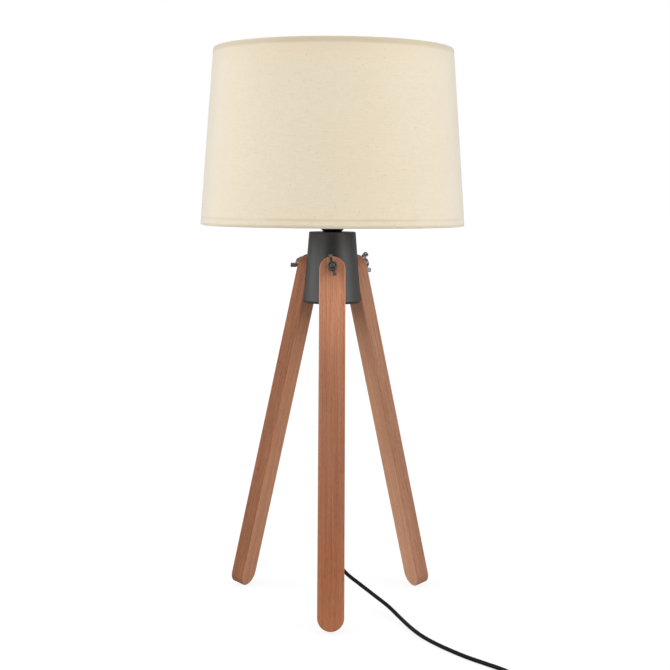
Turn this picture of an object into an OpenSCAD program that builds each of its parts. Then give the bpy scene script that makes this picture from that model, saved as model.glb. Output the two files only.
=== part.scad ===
// Tripod table lamp: three wooden legs in the recesses of a dark conical hub,
// a bulb holder on the hub, a tapered drum shade on the holder and a mains lead.
// +Z is up, the floor is z = 0 and the lamp's upright axis is x = y = 0.
// The front leg points along -Y. All sizes are in millimetres.

/* [Legs] */
// Length of a leg, from round end to round end
leg_l = 412; // [360:1:460]
// Width of a leg
leg_w = 29.5; // [26:0.5:32]
// Thickness of a leg
leg_t = 17; // [14:0.5:20]
// Radius of the rounded long edges of a leg
leg_edge_r = 2; // [1:0.25:3]
// Lean of a leg away from the upright, in degrees
leg_lean = 13.65; // [11:0.05:15]
// Distance from a leg's top end to the centre of its bolt hole
bolt_from_end = 12; // [11:0.5:14]
// Radius from the lamp's axis to a leg's inner face at the bolt
bolt_circle_r = 21.6; // [21:0.1:24]

/* [Hub] */
// Diameter of the hub at its top
hub_top_d = 53.2; // [52:0.2:58]
// Diameter of the hub at its bottom
hub_bottom_d = 66; // [65:0.5:72]
// Height of the hub
hub_h = 81; // [76:1:88]
// Height of the hub's top above the bolts
hub_over_bolt = 41.7; // [38:0.1:46]
// Radius of the hub's rounded bottom edge
hub_bottom_fillet = 3; // [1.5:0.25:4]
// Radius of the hub's rounded top edge
hub_top_fillet = 1; // [0.5:0.25:2]
// Thickness of the metal behind a leg's recess
hub_wall = 3; // [2.5:0.25:3.5]
// Thickness of the hub's top wall
hub_top_wall = 4; // [3:0.5:6]
// Clearance between a leg and the rim of its recess
pocket_gap = 0.3; // [0.1:0.05:0.6]
// Thickness of the plate that closes the hub from below
plate_t = 2; // [1.5:0.25:3]
// Clearance between the bottom plate and its seat
plate_gap = 0.3; // [0.1:0.1:0.5]

/* [Bolts and wing nuts] */
// Diameter of a bolt
bolt_d = 5; // [4.6:0.1:5.2]
// Width across the flats of a bolt's head
bolt_head_w = 8; // [7:0.5:9]
// Thickness of a bolt's head
bolt_head_t = 3.5; // [3:0.25:4]
// Length of bolt that stands out of its wing nut
bolt_proud = 1.5; // [0.5:0.25:3]
// Diameter of a washer
washer_d = 10; // [9:0.25:10.5]
// Thickness of a washer
washer_t = 1; // [0.6:0.1:1.6]
// Height of a wing nut's round boss
nut_boss_h = 7.5; // [6:0.25:8]
// Diameter of a wing nut's boss at its foot
nut_foot_d = 11.2; // [10:0.2:12]
// Diameter of a wing nut's boss at its end
nut_end_d = 10.2; // [9:0.2:10.8]
// Span of a wing nut across both wings
nut_span = 24.6; // [22:0.2:27]
// Height of a wing nut across both wings
nut_h = 11.1; // [10:0.1:12.5]
// Thickness of a wing at its tip
wing_tip_t = 4.2; // [3.4:0.1:5]
// Thickness of a wing at its waist
wing_waist_t = 2.7; // [2.2:0.1:3.2]

/* [Tube through the hub] */
// Diameter of the threaded tube
tube_d = 10; // [9:0.2:11]
// Bore of the threaded tube
tube_bore = 7; // [6:0.2:7.6]
// Length of the tube inside the bulb holder
tube_in_holder = 7; // [5:0.5:9]
// Width across the flats of a tube nut
tube_nut_w = 14; // [13:0.5:14.5]
// Thickness of a tube nut
tube_nut_t = 4; // [3:0.5:5]
// Diameter of the cord grip's collar
grip_d = 15; // [14:0.5:17]
// Height of the cord grip's collar
grip_collar_h = 9; // [8:0.5:12]
// Length of the cord grip's tapered tail
grip_tail_l = 22; // [20:1:30]

/* [Bulb holder] */
// Diameter of the holder's neck where it stands on the hub
holder_neck_d = 20.5; // [18:0.5:22]
// Outer diameter of the holder
holder_d = 39; // [38.5:0.1:40]
// Height of the holder's cap
cap_h = 22; // [20:0.5:25]
// Height of the holder's sleeve
sleeve_h = 36; // [34:0.5:40]
// Thickness of the holder's moulded wall
holder_wall = 1.7; // [1.4:0.1:1.9]
// Height of the shoulder that carries the shade, above the sleeve's foot
shoulder_up = 12; // [10:0.5:14]
// Diameter of that shoulder
shoulder_d = 45; // [43.5:0.5:47]
// Diameter of the clamp ring's flange
clamp_flange_d = 53; // [50:0.5:55]
// Diameter of the clamp ring's skirt
clamp_skirt_d = 45; // [43:0.5:48]
// Height of the clamp ring
clamp_h = 8; // [6:0.5:12]
// Number of grip ribs round the clamp ring
clamp_ribs = 24; // [18:2:30]

/* [Bulb] */
// Diameter of the bulb's glass
bulb_d = 60; // [55:1:62]
// Length of the bulb
bulb_l = 108; // [100:1:112]
// Diameter of the bulb's screw cap
bulb_cap_d = 26.2; // [25.8:0.1:26.4]
// Height of the bulb's screw cap
bulb_cap_h = 22; // [20:0.5:24]
// Thickness of the bulb's glass
bulb_wall = 0.8; // [0.6:0.1:1.2]

/* [Shade] */
// Diameter of the shade at its top
shade_top_d = 270; // [240:1:290]
// Diameter of the shade at its bottom
shade_bottom_d = 300; // [280:1:330]
// Height of the shade
shade_h = 198; // [180:1:220]
// Height of the shade's bottom edge above the hub
shade_over_hub = 7; // [4:0.5:12]
// Thickness of the shade's woven cover
cover_t = 0.5; // [0.4:0.05:0.8]
// Thickness of the stiff liner under the cover
liner_t = 0.5; // [0.4:0.05:0.8]
// Height of the hem that is turned in over the edge wires
hem_h = 11; // [9:0.5:14]
// Diameter of the edge wires
edge_wire_d = 2.7; // [2.2:0.1:3]
// Diameter of the three arms of the shade's frame
arm_d = 2.5; // [2:0.1:2.6]
// Diameter of the frame's centre ring
fitter_d = 56; // [54:0.5:60]
// Thickness of the frame's centre ring
fitter_t = 1.2; // [1:0.1:1.6]

/* [Cord, switch and plug] */
// Diameter of the cord
cord_d = 4.4; // [4:0.1:4.6]
// Length of the switch, without its collars
switch_l = 52; // [48:0.5:56]
// Width of the switch
switch_w = 24; // [22:0.5:26]
// Height of the switch
switch_h = 15; // [14:0.5:17]
// Length of the collar at each end of the switch
switch_collar_l = 4; // [3:0.5:5]
// Length of the rocker
rocker_l = 18; // [15:0.5:20]
// Width of the rocker
rocker_w = 8; // [7:0.5:9]
// Tilt of the rocker to each side, in degrees
rocker_tilt = 9; // [6:0.5:11]
// Width of the plug
plug_w = 35.3; // [33:0.1:36]
// Thickness of the plug
plug_t = 13.7; // [13:0.1:15]
// Length of the plug's body
plug_l = 35; // [32:0.5:38]
// Length of the plug's tapered tail
plug_tail_l = 22; // [20:0.5:26]
// Diameter of a plug pin
pin_d = 4; // [3.8:0.1:4.2]
// Length of a plug pin
pin_l = 19; // [17:0.5:20]
// Distance between the pins
pin_pitch = 18.6; // [17:0.1:19]

/* [Hidden] */
$fn = 72;
LEG_ANGLES = [-90, 30, 150]; // front, right, left
WING_TURNS = [12.5, 0, 70]; // how far each wing nut is turned from its leg's line
EPS = 0.01;

// --- places that follow from the driving sizes
leg_straight = leg_l - leg_w;
bolt_up = leg_w / 2 - bolt_from_end; // bolt above the centre of the leg's round top
round_r = bolt_circle_r + bolt_up * sin(leg_lean); // inner face at that centre
round_z = (leg_straight + leg_w / 2 - leg_edge_r) * cos(leg_lean) + leg_edge_r * (1 - sin(leg_lean));
bolt_z = round_z + bolt_up * cos(leg_lean);

hub_top_z = bolt_z + hub_over_bolt;
hub_z = hub_top_z - hub_h;
hub_slope = atan((hub_bottom_d - hub_top_d) / 2 / hub_h);
rim_w = 2.4; // flat of the hub's lower rim, outside the bottom plate
seat_r = hub_bottom_d / 2 - hub_bottom_fillet - rim_w; // seat of the bottom plate
seat_lip = 0.6; // the plate lies this deep in the hub
ledge_w = 3; // width of the ledge that the plate lies against
plate_top_z = hub_z + seat_lip + plate_t;
bore_gap = 0.15; // radial clearance of a bolt in the hub and in its leg

nut_gap = 0.05; // radial running clearance of a wing nut on its bolt
washer_gap = 0.1; // radial clearance of a washer on its bolt
bolt_out = leg_t + washer_t + nut_boss_h + bolt_proud;
bolt_chamfer = 0.7;

tube_gap = 0.15; // radial clearance of the tube in the hub, plate and holder
tube_low = 6.6; // length of tube below its lower nut
lower_nut_z = plate_top_z - plate_t - tube_nut_t;
tube_z = lower_nut_z - tube_low;
tube_top_z = hub_top_z + tube_in_holder;
grip_under_nut = 1; // gap between the lower nut and the cord grip
grip_top_z = lower_nut_z - grip_under_nut;
grip_z = grip_top_z - grip_collar_h;
grip_end_z = grip_z - grip_tail_l;
grip_wall = 1.5; // wall of the grip's tail at its end
grip_tail_d = cord_d + 2 * grip_wall;
cord_gap = 0.1; // radial clearance of the cord in what it passes through

holder_r = holder_d / 2;
cap_top_z = hub_top_z + cap_h;
cap_flare = 41; // angle of the cap's flare from the upright
cap_cone_h = (holder_d - holder_neck_d) / 2 / tan(cap_flare);
cap_floor_t = 3.5;
sleeve_top_z = cap_top_z + sleeve_h;
shoulder_z = cap_top_z + shoulder_up;
core_gap = 0.3; // radial clearance round the insulating core
core_r = holder_r - holder_wall - core_gap;
core_in_cap = 6; // the core stands this deep in the cap
core_ledge_w = 2; // width of the ledge under it
core_floor_t = 13;
ledge_z = cap_top_z - core_in_cap;
core_floor_z = ledge_z + core_floor_t;
shell_gap = 0.3; // radial clearance between the bulb's cap and the thread shell
shell_t = 0.5;
shell_r = bulb_cap_d / 2 + shell_gap;
contact_h = 2.6;
contact_gap = 0.3; // between the holder's and the bulb's contacts
bulb_z = core_floor_z + contact_h + contact_gap; // tip of the bulb's contact
bulb_tip_h = 1.5;
bulb_glass_foot = 3.4; // height of the black glass foot above the contact
bulb_cap_z = bulb_z + bulb_tip_h + bulb_glass_foot;
bulb_neck_z = bulb_cap_z + bulb_cap_h;
bulb_centre_z = bulb_z + bulb_l - bulb_d / 2;
bulb_neck_out = 0.9; // the glass neck stands this far outside the cap
bulb_neck_r = bulb_cap_d / 2 + bulb_neck_out;
bulb_neck_h = 6;

clamp_gap = 0.05; // radial running clearance of the clamp ring on the sleeve
fitter_gap = 0.7; // radial clearance of the frame's centre ring on the sleeve
fitter_bore_r = holder_r + fitter_gap;
fitter_z = shoulder_z;
clamp_lift = 0.1; // gap between the centre ring and the clamp ring
clamp_z = fitter_z + fitter_t + clamp_lift;
clamp_flange_t = 1.8;

shade_z = hub_top_z + shade_over_hub;
shade_top_z = shade_z + shade_h;
layer_gap = 0.05; // between the cover, the liner and the wires
roll_slack = 0.1; // extra room of the cloth round its wire
roll_in_r = edge_wire_d / 2 + liner_t / 2 + 3 * layer_gap + roll_slack; // inside of the rolled hem
roll_r = roll_in_r + cover_t;
low_roll_z = shade_z + roll_r;
top_roll_z = shade_top_z - roll_r;
wire_in = cover_t + liner_t + 2 * layer_gap + edge_wire_d / 2; // wire centre behind the cover's face
arm_start_gap = 0.8; // between the holder's shoulder and an arm's end
arm_gap = 0.35; // round each arm where it passes through the rolled hem
bend_swell = 0.2; // an arm is this much thicker at its forged bend
arm_weld = 0.3; // the arms sink this deep into the centre ring's underside
arm_out = 1; // straight length of an arm outside the centre ring
arm_start_r = shoulder_d / 2 + arm_start_gap;
arm_z = fitter_z - arm_d / 2 + arm_weld;
arm_bend_x = fitter_d / 2 + arm_out; // where each arm bends down

// Outer radius of the shade at height z
function shade_r(z) = (shade_bottom_d - (shade_bottom_d - shade_top_d) * (z - shade_z) / shade_h) / 2;

// The sloping part of an arm runs from its bend to the lower edge wire
arm_run = shade_r(low_roll_z) - wire_in - arm_bend_x;
arm_slope = atan2(arm_z - low_roll_z, arm_run);
arm_sloping_l = norm([arm_run, arm_z - low_roll_z]);

// --- the cord's route, chosen by hand
cord_r = cord_d / 2;
cord_line_y = -312; // the switch, the coil's start and the plug lie on this line
switch_x = 102;
switch_cord_z = 7;
coil_centre = [34, -345.5];
coil_in_r = 18.5;
coil_pitch = 5; // from turn to turn, and from layer to layer
coil_turns = 3; // in each of the two layers
coil_z = 3.2; // centre of the lower layer's cord
coil_out_r = coil_in_r + coil_turns * coil_pitch;
plug_x = 12;
plug_cord_z = plug_t / 2;
FEED_ROUTE = [
    [0, 0, grip_end_z], [0, 0, grip_end_z - 18], [0, 0, 260], [0, 0, 225], [0, 0, 190],
    [-1, 1, 155], [-4, 3, 120], [-5, 4, 95], [-3, 3, 73], [4, -2, 53], [17, -11, 36],
    [34, -23, 25], [51, -39, 16], [65, -58, 10], [76, -80, 5], [84, -102, 3],
    [92, -125, 2.3], [101, -147, 2.3], [113, -169, 2.3], [126, -189, 2.3],
    [140, -208, 2.3], [155, -225, 2.3], [170, -242, 2.3], [179, -256, 2.3],
    [182, -270, 2.3], [180, -284, 2.3], [173, -297, 2.4], [161, -306, 3],
    [148, -311, 4.5], [140, -312, 6], [135, -312, 7],
    [switch_x + switch_l / 2 + switch_collar_l, cord_line_y, switch_cord_z]
];
LINK_ROUTE = [
    [switch_x - switch_l / 2 - switch_collar_l, cord_line_y, switch_cord_z],
    [67, -312, 7], [60, -312, 6.2], [51, -312, 4.2], [44, -312, coil_z],
    [coil_centre.x + cord_d, cord_line_y, coil_z]
];
TAIL_ROUTE = [
    [coil_centre.x - cord_d, cord_line_y, coil_z + coil_pitch],
    [25, -312, 8.2], [20, -312, 7.4], [16.4, -312, plug_cord_z],
    [plug_x, cord_line_y, plug_cord_z]
];

// ---------------------------------------------------------------- helpers

// A place on leg k: z points out of the leg's face, x down the leg, y across it.
// The origin is the inner face at the centre of the leg's round top.
module on_leg(k)
    rotate([0, 0, LEG_ANGLES[k]])
        translate([round_r, 0, round_z])
            rotate([0, 90 - leg_lean, 0])
                children();

// The same place, at the bolt
module on_bolt(k)
    on_leg(k) translate([-bolt_up, 0, 0]) children();

module tube_shape(r_out, r_in, h)
    difference() {
        cylinder(r = r_out, h = h);
        translate([0, 0, -1]) cylinder(r = r_in, h = h + 2);
    }

module rounded_rect(w, h, r) {
    translate([r, 0]) square([w - 2 * r, h]);
    translate([0, r]) square([w, h - 2 * r]);
    for (x = [r, w - r], y = [r, h - r])
        translate([x, y]) circle(r = r);
}

function unit(v) = v / norm(v);

// A smooth curve through the points, with a point about every step millimetres
function curve_at(a, b, c, d, t) =
    0.5 * (2 * b + (c - a) * t + (2 * a - 5 * b + 4 * c - d) * t * t + (3 * b - a - 3 * c + d) * t * t * t);
function curve(p, step) = [
    for (i = [0:len(p) - 2])
        let (
            before = i == 0 ? 2 * p[0] - p[1] : p[i - 1],
            after = i == len(p) - 2 ? 2 * p[i + 1] - p[i] : p[i + 2],
            n = max(1, round(norm(p[i + 1] - p[i]) / step))
        )
        for (k = [0:n - 1]) curve_at(before, p[i], p[i + 1], after, k / n),
    p[len(p) - 1]
];

function directions(p) = [
    for (i = [0:len(p) - 1])
        unit(p[min(i + 1, len(p) - 1)] - p[max(i - 1, 0)])
];
// One side direction for each point, carried along the curve without twist
function sides_along(t, first) = [
    for (
        i = 0, n = unit(first - (first * t[0]) * t[0]);
        i < len(t);
        i = i + 1, n = i < len(t) ? unit(n - (n * t[i]) * t[i]) : n
    ) n
];

// A round tube swept along points, of triangles
module swept_tube(p, r, sides, first_side) {
    t = directions(p);
    n = sides_along(t, first_side);
    last = (len(p) - 1) * sides;
    points = [
        for (i = [0:len(p) - 1], k = [0:sides - 1])
            let (a = 360 * (k + 0.5) / sides)
            p[i] + r * (cos(a) * n[i] + sin(a) * cross(t[i], n[i]))
    ];
    walls = [
        for (i = [0:len(p) - 2], k = [0:sides - 1])
            let (
                a = i * sides + k,
                b = i * sides + (k + 1) % sides
            )
            each [[a, a + sides, b], [b, a + sides, b + sides]]
    ];
    caps = [
        for (k = [1:sides - 2])
            each [[0, k, k + 1], [last, last + k + 1, last + k]]
    ];
    polyhedron(points = points, faces = concat(walls, caps), convexity = 10);
}

// ---------------------------------------------------------------- hub

// Outline of the hub: a cone with rounded rims
module hub_outline() {
    low_c = hub_bottom_d / 2 - hub_bottom_fillet * (tan(hub_slope) + 1 / cos(hub_slope));
    top_c = hub_bottom_d / 2 - (hub_h - hub_top_fillet) * tan(hub_slope) - hub_top_fillet / cos(hub_slope);
    polygon([
        [0, hub_z],
        [low_c, hub_z],
        [low_c + hub_bottom_fillet * cos(hub_slope), hub_z + hub_bottom_fillet * (1 + sin(hub_slope))],
        [top_c + hub_top_fillet * cos(hub_slope), hub_top_z - hub_top_fillet * (1 - sin(hub_slope))],
        [top_c, hub_top_z],
        [0, hub_top_z]
    ]);
    translate([low_c, hub_z + hub_bottom_fillet]) circle(r = hub_bottom_fillet);
    translate([top_c, hub_top_z - hub_top_fillet]) circle(r = hub_top_fillet);
}

// The recess that takes the top of leg k, open towards the floor
module leg_pocket(k) {
    r = leg_w / 2 + pocket_gap;
    on_leg(k) {
        cylinder(r = r, h = hub_bottom_d);
        translate([0, -r, 0]) cube([hub_h * 2, 2 * r, hub_bottom_d]);
    }
}

// The hollow of the hub, with a wall of equal thickness behind each recess
module hub_hollow()
    intersection() {
        translate([0, 0, plate_top_z - EPS])
            cylinder(r = seat_r - ledge_w, h = hub_top_z - hub_top_wall - plate_top_z + EPS);
        behind_wall(0);
        behind_wall(1);
        behind_wall(2);
    }

// All that lies on the lamp's side of the wall behind recess k
module behind_wall(k)
    on_leg(k) translate([-hub_h * 2, -hub_bottom_d, -hub_wall - 2 * hub_bottom_d])
        cube([hub_h * 4, 2 * hub_bottom_d, 2 * hub_bottom_d]);

module hub_casting()
    color([0.23, 0.22, 0.22])
        difference() {
            rotate_extrude() hub_outline();
            for (k = [0:2]) leg_pocket(k);
            hub_hollow();
            translate([0, 0, hub_z - 1]) cylinder(r = seat_r, h = plate_top_z - hub_z + 1);
            translate([0, 0, hub_z]) cylinder(r = tube_d / 2 + tube_gap, h = hub_h + 1);
            for (k = [0:2])
                on_bolt(k) translate([0, 0, -hub_wall - 2])
                    cylinder(d = bolt_d + 2 * bore_gap, h = hub_wall + 4);
        }

module hub_bottom_plate()
    color([0.2, 0.2, 0.2])
        translate([0, 0, plate_top_z - plate_t])
            tube_shape(seat_r - plate_gap, tube_d / 2 + tube_gap, plate_t);

// ---------------------------------------------------------------- tube, nuts and cord grip

module threaded_tube()
    color([0.75, 0.72, 0.6])
        translate([0, 0, tube_z])
            tube_shape(tube_d / 2, tube_bore / 2, tube_top_z - tube_z);

module tube_nut()
    color([0.75, 0.72, 0.6])
        difference() {
            cylinder(d = tube_nut_w / cos(30), h = tube_nut_t, $fn = 6);
            translate([0, 0, -1]) cylinder(r = tube_d / 2 + nut_gap, h = tube_nut_t + 2);
        }

module tube_nut_upper()
    translate([0, 0, hub_top_z - hub_top_wall - tube_nut_t]) tube_nut();

module tube_nut_lower()
    translate([0, 0, lower_nut_z]) tube_nut();

// Grip with a collar on the tube and a tapered, grooved tail round the cord
module cord_grip() {
    grooves = 5;
    pitch = grip_tail_l / (grooves + 1);
    groove_w = 1.4;
    groove_deep = 0.9;
    step_in = 2; // from the collar to the tail
    low_ease = 1; // eased edges of the collar
    top_ease = 0.8;
    tube_stop = 0.3; // the bore for the tube goes on this far below the tube
    wide = grip_d / 2 - step_in;
    narrow = grip_tail_d / 2;
    color([0.08, 0.08, 0.08])
        difference() {
            rotate_extrude() {
                polygon([
                    [0, grip_end_z],
                    [narrow, grip_end_z],
                    [wide, grip_z],
                    [grip_d / 2, grip_z + low_ease],
                    [grip_d / 2, grip_top_z - top_ease],
                    [grip_d / 2 - top_ease, grip_top_z],
                    [0, grip_top_z]
                ]);
            }
            for (i = [1:grooves]) {
                z = grip_end_z + i * pitch;
                r = narrow + (wide - narrow) * (z - grip_end_z) / grip_tail_l;
                translate([0, 0, z - groove_w / 2])
                    tube_shape(r + 2, r - groove_deep, groove_w);
            }
            translate([0, 0, tube_z - tube_stop])
                cylinder(r = tube_d / 2 + nut_gap, h = grip_top_z - tube_z + 1);
            translate([0, 0, grip_end_z - 1])
                cylinder(r = cord_r + cord_gap, h = grip_top_z - grip_end_z);
        }
}

// ---------------------------------------------------------------- legs, bolts and wing nuts

// Half of the leg's section, from its middle line to one edge
module leg_half_section() {
    r = leg_edge_r;
    square([leg_w / 2 - r, leg_t]);
    translate([0, r]) square([leg_w / 2, leg_t - 2 * r]);
    for (y = [r, leg_t - r])
        translate([leg_w / 2 - r, y]) circle(r = r);
}

module leg(k)
    color([0.72, 0.5, 0.38])
        on_leg(k)
            difference() {
                union() {
                    rotate([90, 0, 90]) linear_extrude(height = leg_straight)
                        translate([-leg_w / 2, 0]) rounded_rect(leg_w, leg_t, leg_edge_r);
                    rotate([0, 0, 90]) rotate_extrude(angle = 180) leg_half_section();
                    translate([leg_straight, 0, 0])
                        rotate([0, 0, -90]) rotate_extrude(angle = 180) leg_half_section();
                }
                translate([-bolt_up, 0, -1])
                    cylinder(d = bolt_d + 2 * bore_gap, h = leg_t + 2);
            }

module leg_front() leg(0);
module leg_right() leg(1);
module leg_left() leg(2);

// Bolt with its head inside the hub and its shank through the leg
module bolt(k)
    color([0.35, 0.35, 0.36])
        on_bolt(k) {
            translate([0, 0, -hub_wall - bolt_head_t])
                cylinder(d = bolt_head_w / cos(30), h = bolt_head_t, $fn = 6);
            translate([0, 0, -hub_wall - 1])
                cylinder(d = bolt_d, h = hub_wall + 1 + bolt_out - bolt_chamfer);
            translate([0, 0, bolt_out - bolt_chamfer])
                cylinder(d1 = bolt_d, d2 = bolt_d - 2 * bolt_chamfer, h = bolt_chamfer);
        }

module bolt_front() bolt(0);
module bolt_right() bolt(1);
module bolt_left() bolt(2);

module washer(k)
    color([0.35, 0.35, 0.36])
        on_bolt(k) translate([0, 0, leg_t])
            tube_shape(washer_d / 2, bolt_d / 2 + washer_gap, washer_t);

module washer_front() washer(0);
module washer_right() washer(1);
module washer_left() washer(2);

// One wing, seen from its side and cut to its shape as seen from above
module wing() {
    tip = nut_span / 2;
    foot_r = nut_foot_d / 2;
    end_r = nut_end_d / 2;
    inside = 2; // the wing reaches this far into the boss
    lift = 0.6; // its lower edge above the nut's foot, at the boss
    tab_l = 4.6; // length of the thick tab at the tip
    tab_edge = 2.4; // the tab's outer corner below its top
    tab_h = 7.8; // height of the tab along its inner side
    slant = 1.5; // from the tab's upper inner corner to its lower one
    ease = 0.5; // eased corners of the tab
    valley = 1; // dip between the boss's end and the tab
    intersection() {
        rotate([90, 0, 0])
            linear_extrude(height = wing_tip_t + 2, center = true)
                polygon([
                    [foot_r - inside - ease, lift],
                    [foot_r + 0.8, 2 * lift],
                    [tip - tab_l + slant, nut_h - tab_h],
                    [tip - ease / 2, nut_h - tab_edge - ease],
                    [tip, nut_h - tab_edge],
                    [tip - ease / 2, nut_h - tab_edge + ease],
                    [tip - tab_l + ease, nut_h],
                    [tip - tab_l, nut_h - ease / 2],
                    [end_r + 0.2, nut_boss_h - valley],
                    [end_r - inside, nut_boss_h - valley - ease]
                ]);
        linear_extrude(height = nut_h + 1)
            polygon([
                [0, -wing_waist_t / 2],
                [tip - tab_l, -wing_waist_t / 2],
                [tip - tab_l / 2, -wing_tip_t / 2],
                [tip - ease, -wing_tip_t / 2],
                [tip, -wing_tip_t / 2 + ease],
                [tip, wing_tip_t / 2 - ease],
                [tip - ease, wing_tip_t / 2],
                [tip - tab_l / 2, wing_tip_t / 2],
                [tip - tab_l, wing_waist_t / 2],
                [0, wing_waist_t / 2]
            ]);
    }
}

module wing_nut(k)
    color([0.3, 0.3, 0.32])
        on_bolt(k) translate([0, 0, leg_t + washer_t])
            rotate([0, 0, 180 + WING_TURNS[k]])
                difference() {
                    union() {
                        cylinder(d1 = nut_foot_d, d2 = nut_end_d, h = nut_boss_h);
                        for (a = [0, 180]) rotate([0, 0, a]) wing();
                    }
                    translate([0, 0, -1]) cylinder(r = bolt_d / 2 + nut_gap, h = nut_h + 3);
                }

module wing_nut_front() wing_nut(0);
module wing_nut_right() wing_nut(1);
module wing_nut_left() wing_nut(2);

// ---------------------------------------------------------------- bulb holder

module holder_cap() {
    hole_r = tube_d / 2 + tube_gap;
    floor_z = hub_top_z + cap_floor_t;
    floor_r = tube_d / 2 + 2; // flat of the cap's floor, round the tube
    color([0.07, 0.07, 0.07])
        rotate_extrude()
            polygon([
                [hole_r, hub_top_z],
                [holder_neck_d / 2, hub_top_z],
                [holder_r, hub_top_z + cap_cone_h],
                [holder_r, cap_top_z],
                [core_r + core_gap, cap_top_z],
                [core_r + core_gap, ledge_z],
                [core_r - core_ledge_w, ledge_z],
                [core_r - core_ledge_w, hub_top_z + cap_cone_h],
                [floor_r, floor_z],
                [hole_r, floor_z]
            ]);
}

module holder_sleeve() {
    shoulder_t = 2;
    shoulder_cone_h = 4; // height of the cone under the shoulder
    end_chamfer = 0.8;
    inner_r = holder_r - holder_wall;
    color([0.07, 0.07, 0.07])
        rotate_extrude()
            polygon([
                [inner_r, cap_top_z],
                [holder_r, cap_top_z],
                [holder_r, shoulder_z - shoulder_t - shoulder_cone_h],
                [shoulder_d / 2, shoulder_z - shoulder_t],
                [shoulder_d / 2, shoulder_z],
                [holder_r, shoulder_z],
                [holder_r, sleeve_top_z - end_chamfer],
                [holder_r - end_chamfer, sleeve_top_z],
                [inner_r, sleeve_top_z]
            ]);
}

terminal_x = 10; // distance of each terminal from the lamp's axis

// Insulating core: a thick floor with a wall that holds the thread shell
module holder_core() {
    below_sleeve = 2; // the core ends this far below the sleeve's end
    shell_gap = 0.1; // round the thread shell
    screw_hole_d = 3.4;
    screw_hole_l = 5;
    color([0.9, 0.88, 0.82])
        difference() {
            translate([0, 0, ledge_z]) cylinder(r = core_r, h = sleeve_top_z - below_sleeve - ledge_z);
            translate([0, 0, core_floor_z])
                cylinder(r = shell_r + shell_t + shell_gap, h = sleeve_top_z - core_floor_z);
            for (side = [-1, 1])
                translate([side * terminal_x, 0, ledge_z - 1])
                    cylinder(d = screw_hole_d, h = screw_hole_l + 1);
        }
}

module holder_thread_shell() {
    below_neck = 4; // the shell ends this far below the bulb's neck
    color([0.8, 0.65, 0.35])
        translate([0, 0, core_floor_z])
            tube_shape(shell_r + shell_t, shell_r, bulb_neck_z - below_neck - core_floor_z);
}

// Round contact on a flat spring
module holder_centre_contact() {
    contact_r = 4;
    spring_l = 9;
    spring_t = 0.8;
    color([0.8, 0.65, 0.35])
        translate([0, 0, core_floor_z]) {
            cylinder(r = contact_r, h = contact_h);
            translate([-spring_l, -contact_r / 2, 0]) cube([spring_l, contact_r, spring_t]);
        }
}

// Two terminal blocks under the core, each with its screw
module holder_terminals() {
    block = [5, 6, 6];
    screw_d = 3.2;
    screw_l = 4.5;
    color([0.8, 0.65, 0.35])
        for (side = [-1, 1])
            translate([side * terminal_x, 0, ledge_z]) {
                translate([-block.x / 2, -block.y / 2, -block.z]) cube(block);
                cylinder(d = screw_d, h = screw_l);
            }
}

// Ring that screws down on the sleeve and clamps the shade's centre ring
module clamp_ring() {
    rib_w = 1.2;
    rib_out = 0.8; // how far a rib stands out of the skirt
    rib_in = 0.5; // how deep a rib's foot is sunk in
    color([0.07, 0.07, 0.07])
        difference() {
            translate([0, 0, clamp_z]) {
                cylinder(d = clamp_flange_d, h = clamp_flange_t);
                cylinder(d = clamp_skirt_d, h = clamp_h);
                for (i = [0:clamp_ribs - 1])
                    rotate([0, 0, 360 / clamp_ribs * i])
                        translate([clamp_skirt_d / 2 - rib_in, -rib_w / 2, clamp_flange_t - rib_in])
                            cube([rib_in + rib_out, rib_w, clamp_h - clamp_flange_t]);
            }
            translate([0, 0, clamp_z - 1]) cylinder(r = holder_r + clamp_gap, h = clamp_h + 2);
        }
}

// ---------------------------------------------------------------- bulb

bulb_tip_d = 9; // the contact where it meets the cap

module bulb_contact()
    color([0.7, 0.7, 0.7])
        translate([0, 0, bulb_z]) cylinder(d1 = bulb_tip_d - 2, d2 = bulb_tip_d, h = bulb_tip_h);

// Pressed cap: a cone up from the contact and a thin straight wall
module bulb_cap() {
    cap_r = bulb_cap_d / 2;
    wall = 0.6;
    ease = 0.8; // eased lower edge of the straight wall
    step = 2; // width of that edge
    color([0.8, 0.8, 0.8])
        rotate_extrude()
            polygon([
                [bulb_tip_d / 2, bulb_z + bulb_tip_h],
                [cap_r - step, bulb_cap_z - wall],
                [cap_r, bulb_cap_z + ease],
                [cap_r, bulb_neck_z],
                [cap_r - wall, bulb_neck_z],
                [cap_r - wall, bulb_cap_z + 2 * wall],
                [0, bulb_cap_z + 2 * wall],
                [0, bulb_z + bulb_tip_h]
            ]);
}

// Outline of the glass: a ball on a neck that meets it in a straight line
module glass_outline(inset) {
    r = bulb_d / 2 - inset;
    neck_r = bulb_neck_r - inset;
    from_z = bulb_neck_z + bulb_neck_h;
    reach = norm([neck_r, bulb_centre_z - from_z]);
    a = acos(r / reach) - 90 + atan2(neck_r, bulb_centre_z - from_z); // where the line touches the ball
    translate([0, bulb_centre_z])
        difference() {
            circle(r = r);
            translate([-2 * r, -2 * r]) square([2 * r, 4 * r]);
        }
    polygon([
        [0, bulb_neck_z + inset],
        [bulb_cap_d / 2 - inset, bulb_neck_z + inset],
        [neck_r, bulb_neck_z + 2 + inset],
        [neck_r, from_z],
        [r * cos(a), bulb_centre_z - r * sin(-a)],
        [0, bulb_centre_z]
    ]);
}

module bulb_glass()
    color([0.95, 0.95, 0.93])
        rotate_extrude()
            difference() {
                glass_outline(0);
                glass_outline(bulb_wall);
            }

// ---------------------------------------------------------------- shade

function arc(c, r, from, to) = [
    for (i = [0:8])
        let (a = from + (to - from) * i / 8)
        c + r * [cos(a), sin(a)]
];
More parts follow.
